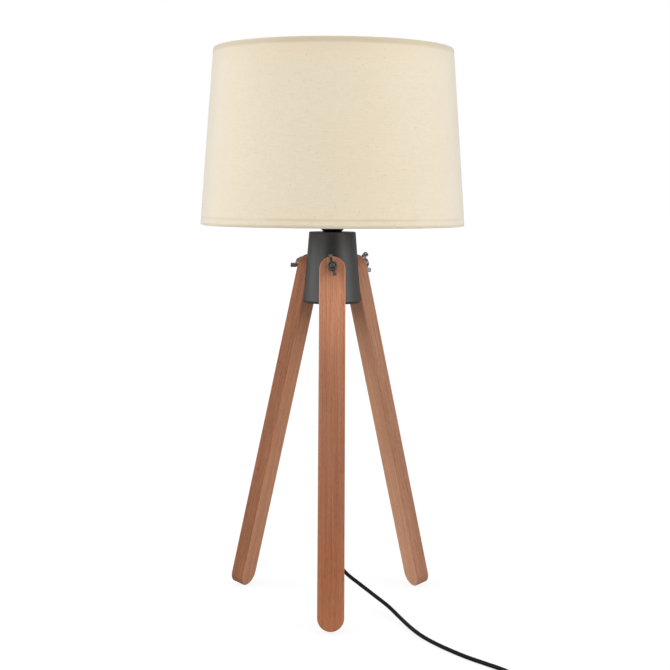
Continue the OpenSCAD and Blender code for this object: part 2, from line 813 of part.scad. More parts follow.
// Section line of the cover at a distance in from its outer face: up the turned-in
// strip at the bottom, round the lower wire, up the face, round the upper wire and down
function cover_line(in) =
    let (
        face = cover_t + liner_t + 3 * layer_gap, // the strips lie behind the liner
        back = face + cover_t - in,
        low_end = low_roll_z + hem_h,
        top_end = top_roll_z - hem_h,
        low_bend = low_roll_z + hem_h / 2,
        top_bend = top_roll_z - hem_h / 2
    )
    concat(
        [[shade_r(low_end) - back, low_end], [shade_r(low_bend) - back, low_bend]],
        arc([shade_r(low_roll_z) - roll_r, low_roll_z], roll_r - in, 180, 360),
        arc([shade_r(top_roll_z) - roll_r, top_roll_z], roll_r - in, 0, 180),
        [[shade_r(top_bend) - back, top_bend], [shade_r(top_end) - back, top_end]]
    );
function reversed(p) = [for (i = [len(p) - 1:-1:0]) p[i]];

// Woven cover, turned in over both edge wires
module shade_cover()
    color([0.91, 0.86, 0.76])
        difference() {
            rotate_extrude()
                polygon(concat(cover_line(0), reversed(cover_line(cover_t))));
            for (k = [0:2]) arm_slope_rod(k, arm_d / 2 + arm_gap);
        }

module shade_liner()
    color([0.96, 0.95, 0.92])
        rotate_extrude()
            polygon([
                [shade_r(low_roll_z) - cover_t - layer_gap - liner_t, low_roll_z],
                [shade_r(low_roll_z) - cover_t - layer_gap, low_roll_z],
                [shade_r(top_roll_z) - cover_t - layer_gap, top_roll_z],
                [shade_r(top_roll_z) - cover_t - layer_gap - liner_t, top_roll_z]
            ]);

module edge_wire(z)
    translate([0, 0, z])
        rotate_extrude()
            translate([shade_r(z) - wire_in, 0]) circle(d = edge_wire_d);

module shade_top_wire()
    color([0.9, 0.9, 0.88]) edge_wire(top_roll_z);

// A place at arm k's line, x outwards
module on_arm(k)
    rotate([0, 0, LEG_ANGLES[k] + 180]) translate([arm_bend_x, 0, arm_z]) children();

// The sloping part of arm k, down to the lower edge wire
module arm_slope_rod(k, r)
    on_arm(k) rotate([0, 90 + arm_slope, 0]) cylinder(r = r, h = arm_sloping_l);

// Arm k: a straight start under the centre ring, a forged bend and the sloping rod
module frame_arm(k) {
    on_arm(k) {
        translate([arm_start_r - arm_bend_x, 0, 0])
            rotate([0, 90, 0]) cylinder(d = arm_d, h = arm_bend_x - arm_start_r);
        sphere(d = arm_d + 2 * bend_swell);
    }
    arm_slope_rod(k, arm_d / 2);
}

// Welded frame: lower edge wire, three arms and the centre ring
module shade_frame()
    color([0.9, 0.9, 0.88]) {
        edge_wire(low_roll_z);
        translate([0, 0, fitter_z]) tube_shape(fitter_d / 2, fitter_bore_r, fitter_t);
        for (k = [0:2]) frame_arm(k);
    }

// ---------------------------------------------------------------- cord

// Straight cord inside the tube, from the terminals to the grip's end
module cord_inner() {
    above_tube = 1.5; // the cord ends this far above the tube
    color([0.06, 0.06, 0.06])
        translate([0, 0, grip_end_z]) cylinder(r = cord_r, h = tube_top_z + above_tube - grip_end_z);
}

module cord_feed()
    color([0.06, 0.06, 0.06])
        swept_tube(curve(FEED_ROUTE, 2.6 * cord_d), cord_r, 8, [1, 0, 0]);

module cord_link()
    color([0.06, 0.06, 0.06])
        swept_tube(curve(LINK_ROUTE, 2 * cord_d), cord_r, 8, [0, 0, 1]);

module cord_tail()
    color([0.06, 0.06, 0.06])
        swept_tube(curve(TAIL_ROUTE, 2 * cord_d), cord_r, 8, [0, 0, 1]);

// The coil winds in on the floor, climbs a layer where it turns and winds out again.
// u is the angle from the turning point, from -360 * coil_turns to 360 * coil_turns.
function coil_radius(u) =
    coil_in_r + coil_pitch / 360 * (abs(u) < 90 ? u * u / 180 + 45 : abs(u));
function coil_height(u) =
    let (s = min(1, max(0, (u + 90) / 180)))
    coil_z + coil_pitch * s * s * (3 - 2 * s);
function coil_point(u) = [
    coil_centre.x + coil_radius(u) * cos(90 + u),
    coil_centre.y + coil_radius(u) * sin(90 + u),
    coil_height(u)
];
coil_half = 360 * coil_turns;
COIL_LOOP = [for (u = [-coil_half:15:coil_half]) coil_point(u)];
COIL_LINE = concat(
    [[coil_centre.x + cord_d, cord_line_y, coil_z]],
    COIL_LOOP,
    [[coil_centre.x - cord_d, cord_line_y, coil_z + coil_pitch]]
);
function line_length(p) = [for (i = [1:len(p) - 1]) norm(p[i] - p[i - 1])] * [for (i = [1:len(p) - 1]) 1];
coil_least_gap = min([
    for (i = [0:len(COIL_LOOP) - 14])
        min([for (j = [i + 13:len(COIL_LOOP) - 1]) norm(COIL_LOOP[i] - COIL_LOOP[j])])
]) - cord_d;
echo(coil_least_gap = coil_least_gap);
echo(
    feed_length = line_length(curve(FEED_ROUTE, 2)),
    link_length = line_length(curve(LINK_ROUTE, 2)),
    coil_length = line_length(COIL_LINE),
    tail_length = line_length(curve(TAIL_ROUTE, 2))
);

module cord_coil()
    color([0.06, 0.06, 0.06]) swept_tube(COIL_LINE, cord_r, 6, [0, 0, 1]);

// Strap round the coil's turns, across from where the cord comes in
module cord_tie() {
    strap_t = 0.6;
    strap_w = 6;
    strap_r = 2; // rounding of the strap's corners
    slack = 0.25; // between the strap and the turns
    low = coil_z - cord_r - slack;
    top = coil_z + coil_pitch + cord_r + slack;
    in_r = coil_in_r - cord_r - slack;
    out_r = coil_out_r + cord_r + slack;
    color([0.1, 0.1, 0.1])
        translate([coil_centre.x, coil_centre.y, 0])
            rotate([90, 0, -90])
                translate([0, 0, -strap_w / 2])
                    linear_extrude(height = strap_w)
                        difference() {
                            translate([in_r - strap_t, low - strap_t])
                                rounded_rect(out_r - in_r + 2 * strap_t, top - low + 2 * strap_t, strap_r);
                            translate([in_r, low])
                                rounded_rect(out_r - in_r, top - low, strap_r - strap_t);
                        }
}

// ---------------------------------------------------------------- switch

rocker_axle_d = 2.4;
rocker_under_top = 3.2; // the rocker's axle below the housing's top
rocker_axle_z = switch_h - rocker_under_top;
rocker_sink = 0.1; // the middle of the rocker's face below the housing's top
rocker_rise = rocker_under_top - rocker_sink; // and above its axle
rocker_dip = 1.1; // depth of the shallow V in the rocker's face
rocker_foot = 2.2; // the rocker's underside below its axle
rocker_gap = 0.4; // round the rocker in its window
axle_gap = 0.05; // radial running clearance of the rocker's axle
axle_end_gap = 0.2; // at each end of it
bearing_w = 5; // each of the two bearings that carry the axle
bearing_t = 1.8;
bearing_over_axle = 2;
bearing_room = 0.3; // round the bearings in the upper half
collar_in = 3; // each collar starts this deep in the housing
collar_d = [11, 8.4]; // a collar at the housing and at its end
screw_x = 18; // distance of each screw from the switch's middle
screw_d = 5;
screw_gap = 0.2; // round each screw's head
top_ease = 1.5; // step round the upper half's top
base_ease = 1; // and round the lower half's underside
base_step_h = 1.2;

module at_switch()
    translate([switch_x, cord_line_y, 0]) children();

// Outline of the switch from above: straight sides and arched ends
module switch_outline(inset) {
    r = switch_w / 2 - inset;
    intersection() {
        translate([-switch_l / 2 + inset, -r]) square([switch_l - 2 * inset, 2 * r]);
        union() {
            translate([-switch_l / 2 + switch_w / 2, -r]) square([switch_l - switch_w, 2 * r]);
            for (side = [-1, 1])
                translate([side * (switch_l / 2 - switch_w / 2), 0]) circle(r = r);
        }
    }
}

// The two collars that the cord goes through, larger all round by a gap
module switch_collars(gap)
    for (side = [-1, 1])
        translate([side * (switch_l / 2 - collar_in), 0, switch_cord_z])
            rotate([0, side * 90, 0])
                cylinder(
                    d1 = collar_d[0] + 2 * gap,
                    d2 = collar_d[1] + 2 * gap,
                    h = collar_in + switch_collar_l
                );

// Lower half of the housing, with a collar at each end and the rocker's bearings
module switch_base() {
    half_h = switch_h / 2;
    pit_z = 4; // floor of the pit under the rocker
    screw_pit_h = 2;
    color([0.06, 0.06, 0.06])
        at_switch()
            difference() {
                union() {
                    linear_extrude(height = base_step_h) switch_outline(base_ease);
                    translate([0, 0, base_step_h])
                        linear_extrude(height = half_h - base_step_h) switch_outline(0);
                    switch_collars(0);
                    for (side = [-1, 1])
                        translate([
                            -bearing_w / 2,
                            side * (rocker_w / 2 + rocker_gap + bearing_t / 2) - bearing_t / 2,
                            half_h - EPS
                        ])
                            cube([bearing_w, bearing_t, rocker_axle_z + bearing_over_axle - half_h]);
                }
                translate([-rocker_l / 2 - 1, -rocker_w / 2 - rocker_gap, pit_z])
                    cube([rocker_l + 2, rocker_w + 2 * rocker_gap, switch_h]);
                translate([0, 0, rocker_axle_z])
                    rotate([90, 0, 0])
                        cylinder(d = rocker_axle_d + 2 * axle_gap, h = switch_w, center = true);
                for (side = [-1, 1])
                    translate([side * screw_x, 0, -1])
                        cylinder(d = screw_d + 2 * screw_gap, h = screw_pit_h + 1);
            }
}

// Upper half of the housing, with the window for the rocker
module switch_cover() {
    half_h = switch_h / 2;
    bearing_y = rocker_w / 2 + rocker_gap + bearing_t + bearing_room;
    color([0.06, 0.06, 0.06])
        at_switch()
            difference() {
                translate([0, 0, half_h]) {
                    linear_extrude(height = half_h - top_ease) switch_outline(0);
                    linear_extrude(height = half_h) switch_outline(top_ease);
                }
                translate([-rocker_l / 2 - rocker_gap, -rocker_w / 2 - rocker_gap, half_h - 1])
                    cube([rocker_l + 2 * rocker_gap, rocker_w + 2 * rocker_gap, switch_h]);
                translate([-bearing_w / 2 - bearing_room, -bearing_y, half_h - 1])
                    cube([
                        bearing_w + 2 * bearing_room,
                        2 * bearing_y,
                        rocker_axle_z + bearing_over_axle + bearing_room - half_h + 1
                    ]);
                switch_collars(0.2);
            }
}

// Rocker, pressed down at the end that faces the plug's side of the cord
module switch_rocker() {
    foot_in = 0.6; // the rocker's sides lean in towards its foot
    face_in = 0.3;
    color([0.08, 0.08, 0.08])
        at_switch()
            translate([0, 0, rocker_axle_z])
                rotate([0, -rocker_tilt, 0])
                    rotate([90, 0, 0]) {
                        cylinder(
                            d = rocker_axle_d,
                            h = rocker_w + 2 * (rocker_gap + bearing_t - axle_end_gap),
                            center = true
                        );
                        linear_extrude(height = rocker_w, center = true)
                            polygon([
                                [-rocker_l / 2 + foot_in, -rocker_foot],
                                [rocker_l / 2 - foot_in, -rocker_foot],
                                [rocker_l / 2 - face_in, rocker_rise + rocker_dip],
                                [0, rocker_rise],
                                [-rocker_l / 2 + face_in, rocker_rise + rocker_dip]
                            ]);
                    }
}

// Two slotted screws, sunk in the underside
module switch_screws() {
    sunk = 0.5;
    head_t = 1.5;
    slot = [0.8, 0.6]; // width and depth
    color([0.7, 0.7, 0.7])
        at_switch()
            for (side = [-1, 1])
                translate([side * screw_x, 0, sunk])
                    difference() {
                        cylinder(d = screw_d, h = head_t);
                        translate([-screw_d, -slot[0] / 2, -1]) cube([2 * screw_d, slot[0], slot[1] + 1]);
                    }
}

// ---------------------------------------------------------------- plug

pin_root_d = pin_d - 0.6; // the part of a pin inside the plug
pin_root_l = 6;
pin_tip_l = 1;
pin_tip_d = pin_d - 1.6; // the end of a pin's rounded tip

module at_plug()
    translate([plug_x, cord_line_y, plug_cord_z]) rotate([0, -90, 0]) children();

// Flat plug: hexagonal outline from the front, tapering body and a grooved tail
module plug_body() {
    tail_d = cord_d + 2.6; // the tail at its end
    tail_root_d = 10; // and where it meets the body
    taper_l = plug_l * 0.55; // length of the body's tapering part
    narrow = 0.42; // the body's width at the tail, as a share of its full width
    grooves = 4;
    groove_w = 1.3;
    groove_deep = 0.6;
    slice = 0.1;
    color([0.06, 0.06, 0.06])
        at_plug()
            difference() {
                union() {
                    cylinder(d1 = tail_d, d2 = tail_root_d, h = plug_tail_l + 1);
                    translate([0, 0, plug_tail_l])
                        hull() {
                            linear_extrude(height = slice) plug_face(narrow);
                            translate([0, 0, taper_l]) linear_extrude(height = slice) plug_face(1);
                        }
                    translate([0, 0, plug_tail_l + taper_l])
                        linear_extrude(height = plug_l - taper_l) plug_face(1);
                }
                for (i = [1:grooves]) {
                    share = i / (grooves + 1);
                    r = (tail_d + (tail_root_d - tail_d) * share) / 2;
                    translate([0, 0, share * plug_tail_l])
                        tube_shape(tail_root_d, r - groove_deep, groove_w);
                }
                for (side = [-1, 1])
                    translate([0, side * pin_pitch / 2, plug_tail_l + plug_l - pin_root_l])
                        cylinder(d = pin_root_d + 0.1, h = pin_root_l + 1);
            }
}

// Face of the plug; share narrows its width towards the tail
module plug_face(share) {
    w = plug_w * share / 2;
    t = plug_t / 2;
    chamfer = plug_t * 0.3;
    polygon([
        [t - chamfer, -w],
        [t, -w + chamfer],
        [t, w - chamfer],
        [t - chamfer, w],
        [-t + chamfer, w],
        [-t, w - chamfer],
        [-t, -w + chamfer],
        [-t + chamfer, -w]
    ]);
}

module plug_pins()
    color([0.8, 0.8, 0.8])
        at_plug()
            for (side = [-1, 1])
                translate([0, side * pin_pitch / 2, plug_tail_l + plug_l]) {
                    translate([0, 0, -pin_root_l]) cylinder(d = pin_root_d, h = pin_root_l);
                    cylinder(d = pin_d, h = pin_l - pin_tip_l);
                    translate([0, 0, pin_l - pin_tip_l])
                        cylinder(d1 = pin_d, d2 = pin_tip_d, h = pin_tip_l);
                }

hub_casting();
hub_bottom_plate();
threaded_tube();
tube_nut_upper();
tube_nut_lower();
cord_grip();
leg_front();
leg_right();
leg_left();
bolt_front();
bolt_right();
bolt_left();
washer_front();
washer_right();
washer_left();
wing_nut_front();
wing_nut_right();
wing_nut_left();
holder_cap();
holder_sleeve();
holder_core();
holder_thread_shell();
holder_centre_contact();
holder_terminals();
clamp_ring();
bulb_contact();
bulb_cap();
bulb_glass();
shade_cover();
shade_liner();
shade_top_wire();
shade_frame();
cord_inner();
cord_feed();
switch_base();
switch_cover();
switch_rocker();
switch_screws();
cord_link();
cord_coil();
cord_tail();
cord_tie();
plug_body();
plug_pins();
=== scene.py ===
"""Tripod table lamp with a cloth drum shade: its looks, built round the fixed frame.

The frame gives every solid piece. This file adds the stage, the cord, the woven shade,
the screw threads and the cast and moulded pieces, and gives each piece its finish.
"""

import math
from contextlib import contextmanager

import bpy
from mathutils import Euler, Matrix, Quaternion, Vector


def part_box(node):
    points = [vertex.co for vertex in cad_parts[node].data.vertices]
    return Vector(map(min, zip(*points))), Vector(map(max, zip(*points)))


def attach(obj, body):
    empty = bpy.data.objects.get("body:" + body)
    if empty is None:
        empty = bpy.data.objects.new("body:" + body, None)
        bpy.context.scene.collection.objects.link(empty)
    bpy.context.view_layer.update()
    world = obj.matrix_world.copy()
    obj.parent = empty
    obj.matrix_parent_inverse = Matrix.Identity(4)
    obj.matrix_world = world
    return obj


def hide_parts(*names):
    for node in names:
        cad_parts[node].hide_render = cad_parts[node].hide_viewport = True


bl_info = {
    "name": "Tripod Table Lamp",
    "version": (1, 0, 0),
    "blender": (4, 5, 0),
    "location": "3D View > Sidebar > Lamp",
    "description": "Builds the looks of a tripod table lamp round its solid frame",
    "category": "Add Mesh",
}

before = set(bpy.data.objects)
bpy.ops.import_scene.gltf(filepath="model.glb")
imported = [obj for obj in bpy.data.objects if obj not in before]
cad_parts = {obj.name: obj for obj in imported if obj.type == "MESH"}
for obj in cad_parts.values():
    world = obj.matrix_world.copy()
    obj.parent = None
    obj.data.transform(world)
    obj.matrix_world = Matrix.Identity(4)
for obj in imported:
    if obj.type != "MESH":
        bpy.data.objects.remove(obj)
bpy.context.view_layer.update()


def levels(node):
    """Lowest and highest level of a frame node."""
    return [corner.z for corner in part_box(node)]


# Places and sizes of the solid lamp, in metres
LEG_NAMES = ("front", "right", "left")
LEG_ANGLES = dict(zip(LEG_NAMES, (-90, 30, 150)))
WING_TURNS = dict(zip(LEG_NAMES, (12.5, 0, 70)))  # how far each wing nut is turned
LEG_LEAN = math.radians(13.65)
LEG_FACE_R = 0.02225  # inner face of a leg at the centre of its round top
LEG_TOP_Z = 0.38561  # height of that centre
LEG_THICK = 0.017
LEG_LONG = 0.412
LEG_ROUND = 0.015  # from that centre up to the leg's end
BOLT_UP = 0.00275  # bolt above that centre, along the leg
BOLT_R = 0.0025
BOLT_BORE_R = 0.0026  # bore of what sits on a bolt
BOLT_OUT = 0.027  # end of a bolt outside the leg's inner face
SHADE_Z, SHADE_TOP_Z = levels("shade_cover")
SHADE_BOTTOM_R = 0.150
SHADE_TOP_R = 0.135
SHADE_MEAN_R = (SHADE_BOTTOM_R + SHADE_TOP_R) / 2
CLOTH_THICK = 0.0005
ROLL_R = 0.00235  # outside of the cloth where it is rolled round an edge wire
WIRE_Z, WIRE_TOP_Z = SHADE_Z + ROLL_R, SHADE_TOP_Z - ROLL_R
HEM_DEPTH = 0.011  # from a wire's centre to the edge of the turned-in cloth
LINER_THICK = 0.0005
LINER_GAP = 0.00015  # between the lining and the turned-in cloth
GRIP_END_Z = levels("cord_grip")[0]
BULB_PITCH = 0.00363  # of the bulb's screw thread
ROUTE_STEP = 0.004  # between two points of a cord
MERGE = 0.000001  # points closer than this are one


# ---------------------------------------------------------------- settings

def tint(name, description, default):
    return bpy.props.FloatVectorProperty(
        name=name, description=description, subtype="COLOR", size=3, default=default)


def watts(name, description, default):
    return bpy.props.FloatVectorProperty(
        name=name, description=description, size=2, default=default, min=0)


def brightness(name, description, default):
    return bpy.props.FloatProperty(name=name, description=description, default=default, min=0)


class LampStageSettings(bpy.types.PropertyGroup):
    """Camera, floor and light."""

    lens: bpy.props.FloatProperty(
        name="Lens", description="Focal length of the camera, in millimetres", default=73.4,
        min=20)
    front_power: watts(
        "Front Lights", "Power of the left and the right front softbox, in watts", (10.5, 13.0))
    side_power: watts(
        "Side Lights", "Power of the left and the right side softbox, in watts", (13.8, 7.4))
    front: brightness("Front", "Brightness of the surroundings on the camera's side", 0.85)
    back: brightness("Back", "Brightness of the surroundings behind the lamp", 0.7)
    gap: brightness("Gap", "Share of that brightness right behind the camera", 0.10)


class LampCordSettings(bpy.types.PropertyGroup):
    """The mains lead."""

    diameter: bpy.props.FloatProperty(
        name="Diameter", description="Diameter of the cord", default=0.0044, unit="LENGTH")
    colour: tint("Colour", "Colour of the sheath", (0.0045, 0.0045, 0.0048))


class LampShadeSettings(bpy.types.PropertyGroup):
    """The woven cover and its lining."""

    sides: bpy.props.IntProperty(
        name="Sides", description="Faces round the shade", default=240, min=48)
    thread: bpy.props.FloatProperty(
        name="Thread", description="Distance from thread to thread", default=0.00062,
        unit="LENGTH")
    colour: tint("Colour", "Colour of the cloth", (0.778, 0.680, 0.508))


class LampWoodSettings(bpy.types.PropertyGroup):
    """The three legs."""

    light: tint("Light Wood", "Colour between the grain lines", (0.690, 0.302, 0.166))
    dark: tint("Dark Wood", "Colour of the grain lines", (0.300, 0.104, 0.045))


class LampMetalSettings(bpy.types.PropertyGroup):
    """The hub and the fastenings."""

    hub: tint("Hub", "Colour of the powder coat", (0.0046, 0.0043, 0.0044))
    dark: tint("Fastenings", "Colour of the dark plating", (0.200, 0.196, 0.194))


GROUPS = (
    ("lamp_stage", LampStageSettings),
    ("lamp_cord", LampCordSettings),
    ("lamp_shade", LampShadeSettings),
    ("lamp_wood", LampWoodSettings),
    ("lamp_metal", LampMetalSettings),
)


# ---------------------------------------------------------------- finishes

def both_ways(operation):
    """The plain and the reflected form of a two-sided operation on sockets."""
    return (
        lambda self, other: self.nodes.maths(operation, self, other),
        lambda self, other: self.nodes.maths(operation, other, self))


class Channel:
    """A shader socket that can stand in a Python expression."""

    def __init__(self, nodes, socket):
        self.nodes = nodes
        self.socket = socket

    __add__, __radd__ = both_ways("ADD")
    __sub__, __rsub__ = both_ways("SUBTRACT")
    __mul__, __rmul__ = both_ways("MULTIPLY")
    __truediv__, __rtruediv__ = both_ways("DIVIDE")

    def sine(self):
        return self.nodes.maths("SINE", self)

    def size(self):
        return self.nodes.maths("ABSOLUTE", self)

    def step(self, low, high):
        """0 below low, 1 above high and a smooth rise between them."""
        return self.nodes.node(
            "ShaderNodeMapRange", {"interpolation_type": "SMOOTHSTEP"},
            {0: self, 1: low, 2: high, 3: 0.0, 4: 1.0})


class NodeTree:
    """The nodes of a material or of the surroundings, each of which comes from node()."""

    def __init__(self, tree):
        self.tree = tree

    def node(self, kind, settings=None, inputs=None, output=0):
        made = self.tree.nodes.new(kind)
        for key, value in (settings or {}).items():
            if key == "stops":
                self.set_stops(made.color_ramp, value)
            else:
                setattr(made, key, value)
        for key, value in (inputs or {}).items():
            self.put(made.inputs[key], value)
        return None if output is None else Channel(self, made.outputs[output])

    def maths(self, operation, *values):
        return self.node("ShaderNodeMath", {"operation": operation}, dict(enumerate(values)))

    @staticmethod
    def set_stops(ramp, stops):
        while len(ramp.elements) > 1:
            ramp.elements.remove(ramp.elements[-1])
        ramp.elements[0].position = stops[0][0]
        ramp.elements[0].color = (*stops[0][1], 1.0)
        for place, colour in stops[1:]:
            ramp.elements.new(place).color = (*colour, 1.0)

    def put(self, socket, value):
        if isinstance(value, Channel):
            self.tree.links.new(value.socket, socket)
        elif socket.type == "RGBA" and len(value) == 3:
            socket.default_value = (*value, 1.0)
        else:
            socket.default_value = value

    def place(self):
        return self.node("ShaderNodeTexCoord", output="Object")

    def parts(self, vector):
        first = self.node("ShaderNodeSeparateXYZ", None, {0: vector})
        return [Channel(self, socket) for socket in first.socket.node.outputs]

    def joined(self, x, y, z):
        return self.node("ShaderNodeCombineXYZ", None, {0: x, 1: y, 2: z})

    def noise(self, vector, scale, detail=2.0, roughness=0.5):
        return self.node("ShaderNodeTexNoise", None, {
            "Vector": vector, "Scale": scale, "Detail": detail, "Roughness": roughness})

    def streaks(self, x, y, z, detail=2.0, roughness=0.5):
        """Noise over three stretched coordinates."""
        return self.noise(self.joined(x, y, z), 1.0, detail, roughness)

    def mix(self, factor, a, b, blend="MIX"):
        settings = {"data_type": "RGBA", "blend_type": blend, "clamp_factor": True}
        return self.node("ShaderNodeMix", settings, {0: factor, 6: a, 7: b}, output=2)

    def layers(self, tone, *layers):
        """Lays colours over a tone one after the other, each by its own factor."""
        for factor, colour in layers:
            tone = self.mix(factor, tone, colour)
        return tone

    def bump(self, height, strength, distance):
        return self.node("ShaderNodeBump", None, {
            "Height": height, "Strength": strength, "Distance": distance})


class Finish(NodeTree):
    """One material on Blender's own surface shader."""

    def __init__(self, name):
        self.material = bpy.data.materials.new(name)
        self.material.use_nodes = True
        super().__init__(self.material.node_tree)
        self.shader = self.tree.nodes["Principled BSDF"]

    def surface(self, **values):
        """Sets the shader's sockets, whose names are written with _ for each space."""
        for name, value in values.items():
            self.put(self.shader.inputs[name.replace("_", " ")], value)
        return self.material


def shade_of(colour, *share):
    """A colour times one share, or times a share for each of its three values."""
    return [c * k for c, k in zip(colour, share if len(share) == 3 else share * 3)]


def powder_coat(name, colour):
    """Satin powder coat: fine orange peel and a slight change of tone."""
    finish = Finish(name)
    place = finish.place()
    grain = finish.noise(place, 1400, 3, 0.6)
    cloud = finish.noise(place, 35)
    tone = finish.mix(cloud.step(0.35, 0.7), shade_of(colour, 0.92), shade_of(colour, 1.08))
    return finish.surface(
        Base_Color=tone,
        Roughness=0.42 + grain * 0.10,
        Specular_IOR_Level=0.94,
        Normal=finish.bump(grain, 0.22, 0.0004))


def wood(leg, colours, seed, tone_and_light_stops, inner):
    """Oiled hardwood with its grain along one leg: bands, fine lines, pale flecks and short pores.

    The stops multiply its colour along the leg. They are partly the wood's own change and partly
    painted
    light: a lighter top, and a lighter or darker leg by how light falls. inner is painted light:
    how much paler the inner face is painted, as if more light fell on it.
    """
    finish = Finish("wood_" + leg)
    place = leg_matrix(leg)
    local = finish.node("ShaderNodeMapping", {"vector_type": "TEXTURE"}, {
        "Vector": finish.place(), "Location": place.to_translation(), "Rotation": place.to_euler()})
    along, side, deep = finish.parts(local)
    drift = finish.streaks(along * 5.0 + seed, side * 9.0, deep * 9.0)
    bent = side + (drift - 0.5) * 0.010
    band = finish.streaks(along * 1.3 + seed, bent * 170.0, deep * 120.0, 3, 0.6)
    line = finish.streaks(along * 11.0, bent * 1500.0 + seed, deep * 1200.0, 4, 0.62)
    pore = finish.streaks(
        along * 150.0 + side * 300.0, bent * 1300.0, deep * 1300.0 + seed, 1, 0.4).step(0.60, 0.72)
    flame = finish.streaks(along * 7.0 + seed * 2, side * 40.0, deep * 40.0, 3)
    fleck = finish.streaks(
        along * 55.0 + side * 120.0, side * 420.0 - along * 150.0,
        deep * 300.0 + seed).step(0.56, 0.72)
    light, dark = colours
    middle = [(a + b) / 2 for a, b in zip(light, dark)]
    tone = finish.layers(
        light,
        (band.step(0.32, 0.68) * 0.70, middle),
        (line.step(0.42, 0.70) * 0.55, dark),
        (flame.step(0.45, 0.85) * 0.25, dark),
        (fleck * 0.38, light),
        (pore * 0.32, shade_of(dark, 0.60)))
    # Painted light over the wood: the stops along the leg, and a paler inner face painted as if
    # more light fell on it.
    share = (along + LEG_ROUND) / LEG_LONG
    tone_and_light_along = finish.node("ShaderNodeValToRGB", {"stops": tone_and_light_stops}, {0: share})
    inner_face_light = finish.mix(deep.step(0.0002, 0.0012), inner, (1.0, 1.0, 1.0))
    tone = finish.mix(1.0, tone, tone_and_light_along, "MULTIPLY")
    tone = finish.mix(1.0, tone, inner_face_light, "MULTIPLY")
    height = line * 0.5 - pore * 0.9
    return finish.surface(
        Base_Color=tone,
        Roughness=0.50 + line * 0.12 + pore * 0.1,
        Specular_IOR_Level=0.35,
        Normal=finish.bump(height, 0.35, 0.0003))


def linen(name, colour, thread):
    """Plain-woven cloth: threads with slubs, pale flecks and specks. It has painted shade in bands
    at the rolled top edge, along the bottom edge and over the turned-in hem.
    """
    finish = Finish(name)
    round_, up, _ = finish.parts(finish.node("ShaderNodeTexCoord", output="UV"))
    turn = math.pi / thread
    weave = (round_ * turn).sine() * (up * turn).sine()
    warp = finish.streaks(round_ / thread * 0.9, up * 130.0, 0.0, 2, 0.6)
    weft = finish.streaks(round_ * 110.0, up / thread * 0.9, 3.7, 2, 0.6)
    slub = finish.streaks(round_ * 60.0, up * 1000.0, 8.1, 1).step(0.66, 0.78)
    speck = finish.streaks(round_ * 480.0, up * 480.0, 5.3, 0).step(0.780, 0.830)
    cloud = finish.streaks(round_ * 9.0, up * 9.0, 1.9)
    pale = shade_of(colour, 1.035, 1.045, 1.08)
    deep = shade_of(colour, 0.93, 0.90, 0.84)
    wave = finish.streaks(round_ * 14.0, 0.0, 2.2, 1)
    # Painted shade: a darker band and fade at the rolled top edge, and a darker line along the
    # bottom edge. A further dark line lies over the turned-in hem, where less light comes through
    # the cloth.
    top_painted_shade = (up + wave * 0.0015).step(SHADE_TOP_Z - 0.0072, SHADE_TOP_Z - 0.0038)
    top_shade_fade = (up + wave * 0.004).step(SHADE_TOP_Z - 0.026, SHADE_TOP_Z - 0.004)
    low_painted_shade = 1.0 - (up - wave * 0.001).step(SHADE_Z + 0.0018, SHADE_Z + 0.0034)
    hem_painted_shade = 1.0 - ((up - SHADE_Z - 0.0080 - wave * 0.0012).size()).step(0.0004, 0.0022)
    tone = finish.layers(
        colour,
        (warp.step(0.34, 0.66), pale),
        (weft.step(0.36, 0.70) * 0.45, deep),
        (cloud.step(0.40, 0.80) * 0.22, deep),
        (slub * 0.35, pale),
        (speck * 0.34, shade_of(colour, 0.62, 0.52, 0.38)),
        # The last four layers are painted shade at the cloth's edges.
        (top_shade_fade * 0.35, deep),
        (top_painted_shade * (0.60 + wave * 0.60), shade_of(deep, 0.84)),
        (low_painted_shade * 0.60, shade_of(deep, 0.86)),
        (hem_painted_shade * wave.step(0.30, 0.60), shade_of(deep, 0.97)))
    height = weave * 0.5 + warp * 0.5 + weft * 0.5 + slub * 0.6
    return finish.surface(
        Base_Color=tone,
        Roughness=0.92,
        Sheen_Weight=1.0,
        Sheen_Roughness=0.5,
        Specular_IOR_Level=0.2,
        Normal=finish.bump(height, 0.60, 0.0003))


def plain(name, colour, roughness, metallic=0.0, grain=900.0, relief=0.12, spread=0.06, **fixed):
    """A moulded, plated or pressed finish: fine grain, a small spread of roughness and tone."""
    finish = Finish(name)
    place = finish.place()
    fine = finish.noise(place, grain, 2, 0.55)
    cloud = finish.noise(place, grain / 18)
    tone = finish.mix(cloud.step(0.3, 0.75), shade_of(colour, 0.94), shade_of(colour, 1.05))
    return finish.surface(
        Base_Color=tone,
        Metallic=metallic,
        Roughness=roughness - spread / 2 + fine * spread + cloud * spread * 0.5,
        Normal=finish.bump(fine, relief, 0.0002),
        **fixed)


# ---------------------------------------------------------------- tools

def choose(piece):
    """Makes a piece the only selected object and the active one."""
    bpy.ops.object.select_all(action="DESELECT")
    piece.select_set(True)
    bpy.context.view_layer.objects.active = piece


@contextmanager
def editing(piece):
    """Edit mode of one piece, with all of it selected."""
    choose(piece)
    bpy.ops.object.mode_set(mode="EDIT")
    bpy.ops.mesh.select_all(action="SELECT")
    yield
    bpy.ops.object.mode_set(mode="OBJECT")


def begin(primitive, name, **sizes):
    """Adds a primitive as the only selected object."""
    bpy.ops.object.select_all(action="DESELECT")
    primitive(**sizes)
    piece = bpy.context.object
    piece.name = piece.data.name = name
    return piece


def turn_outwards():
    """In edit mode, turns the selected faces outwards."""
    bpy.ops.mesh.normals_make_consistent(inside=False)


def tidy_mesh(piece, distance=MERGE):
    """Merges doubles and turns the faces outwards."""
    with editing(piece):
        bpy.ops.mesh.remove_doubles(threshold=distance)
        turn_outwards()


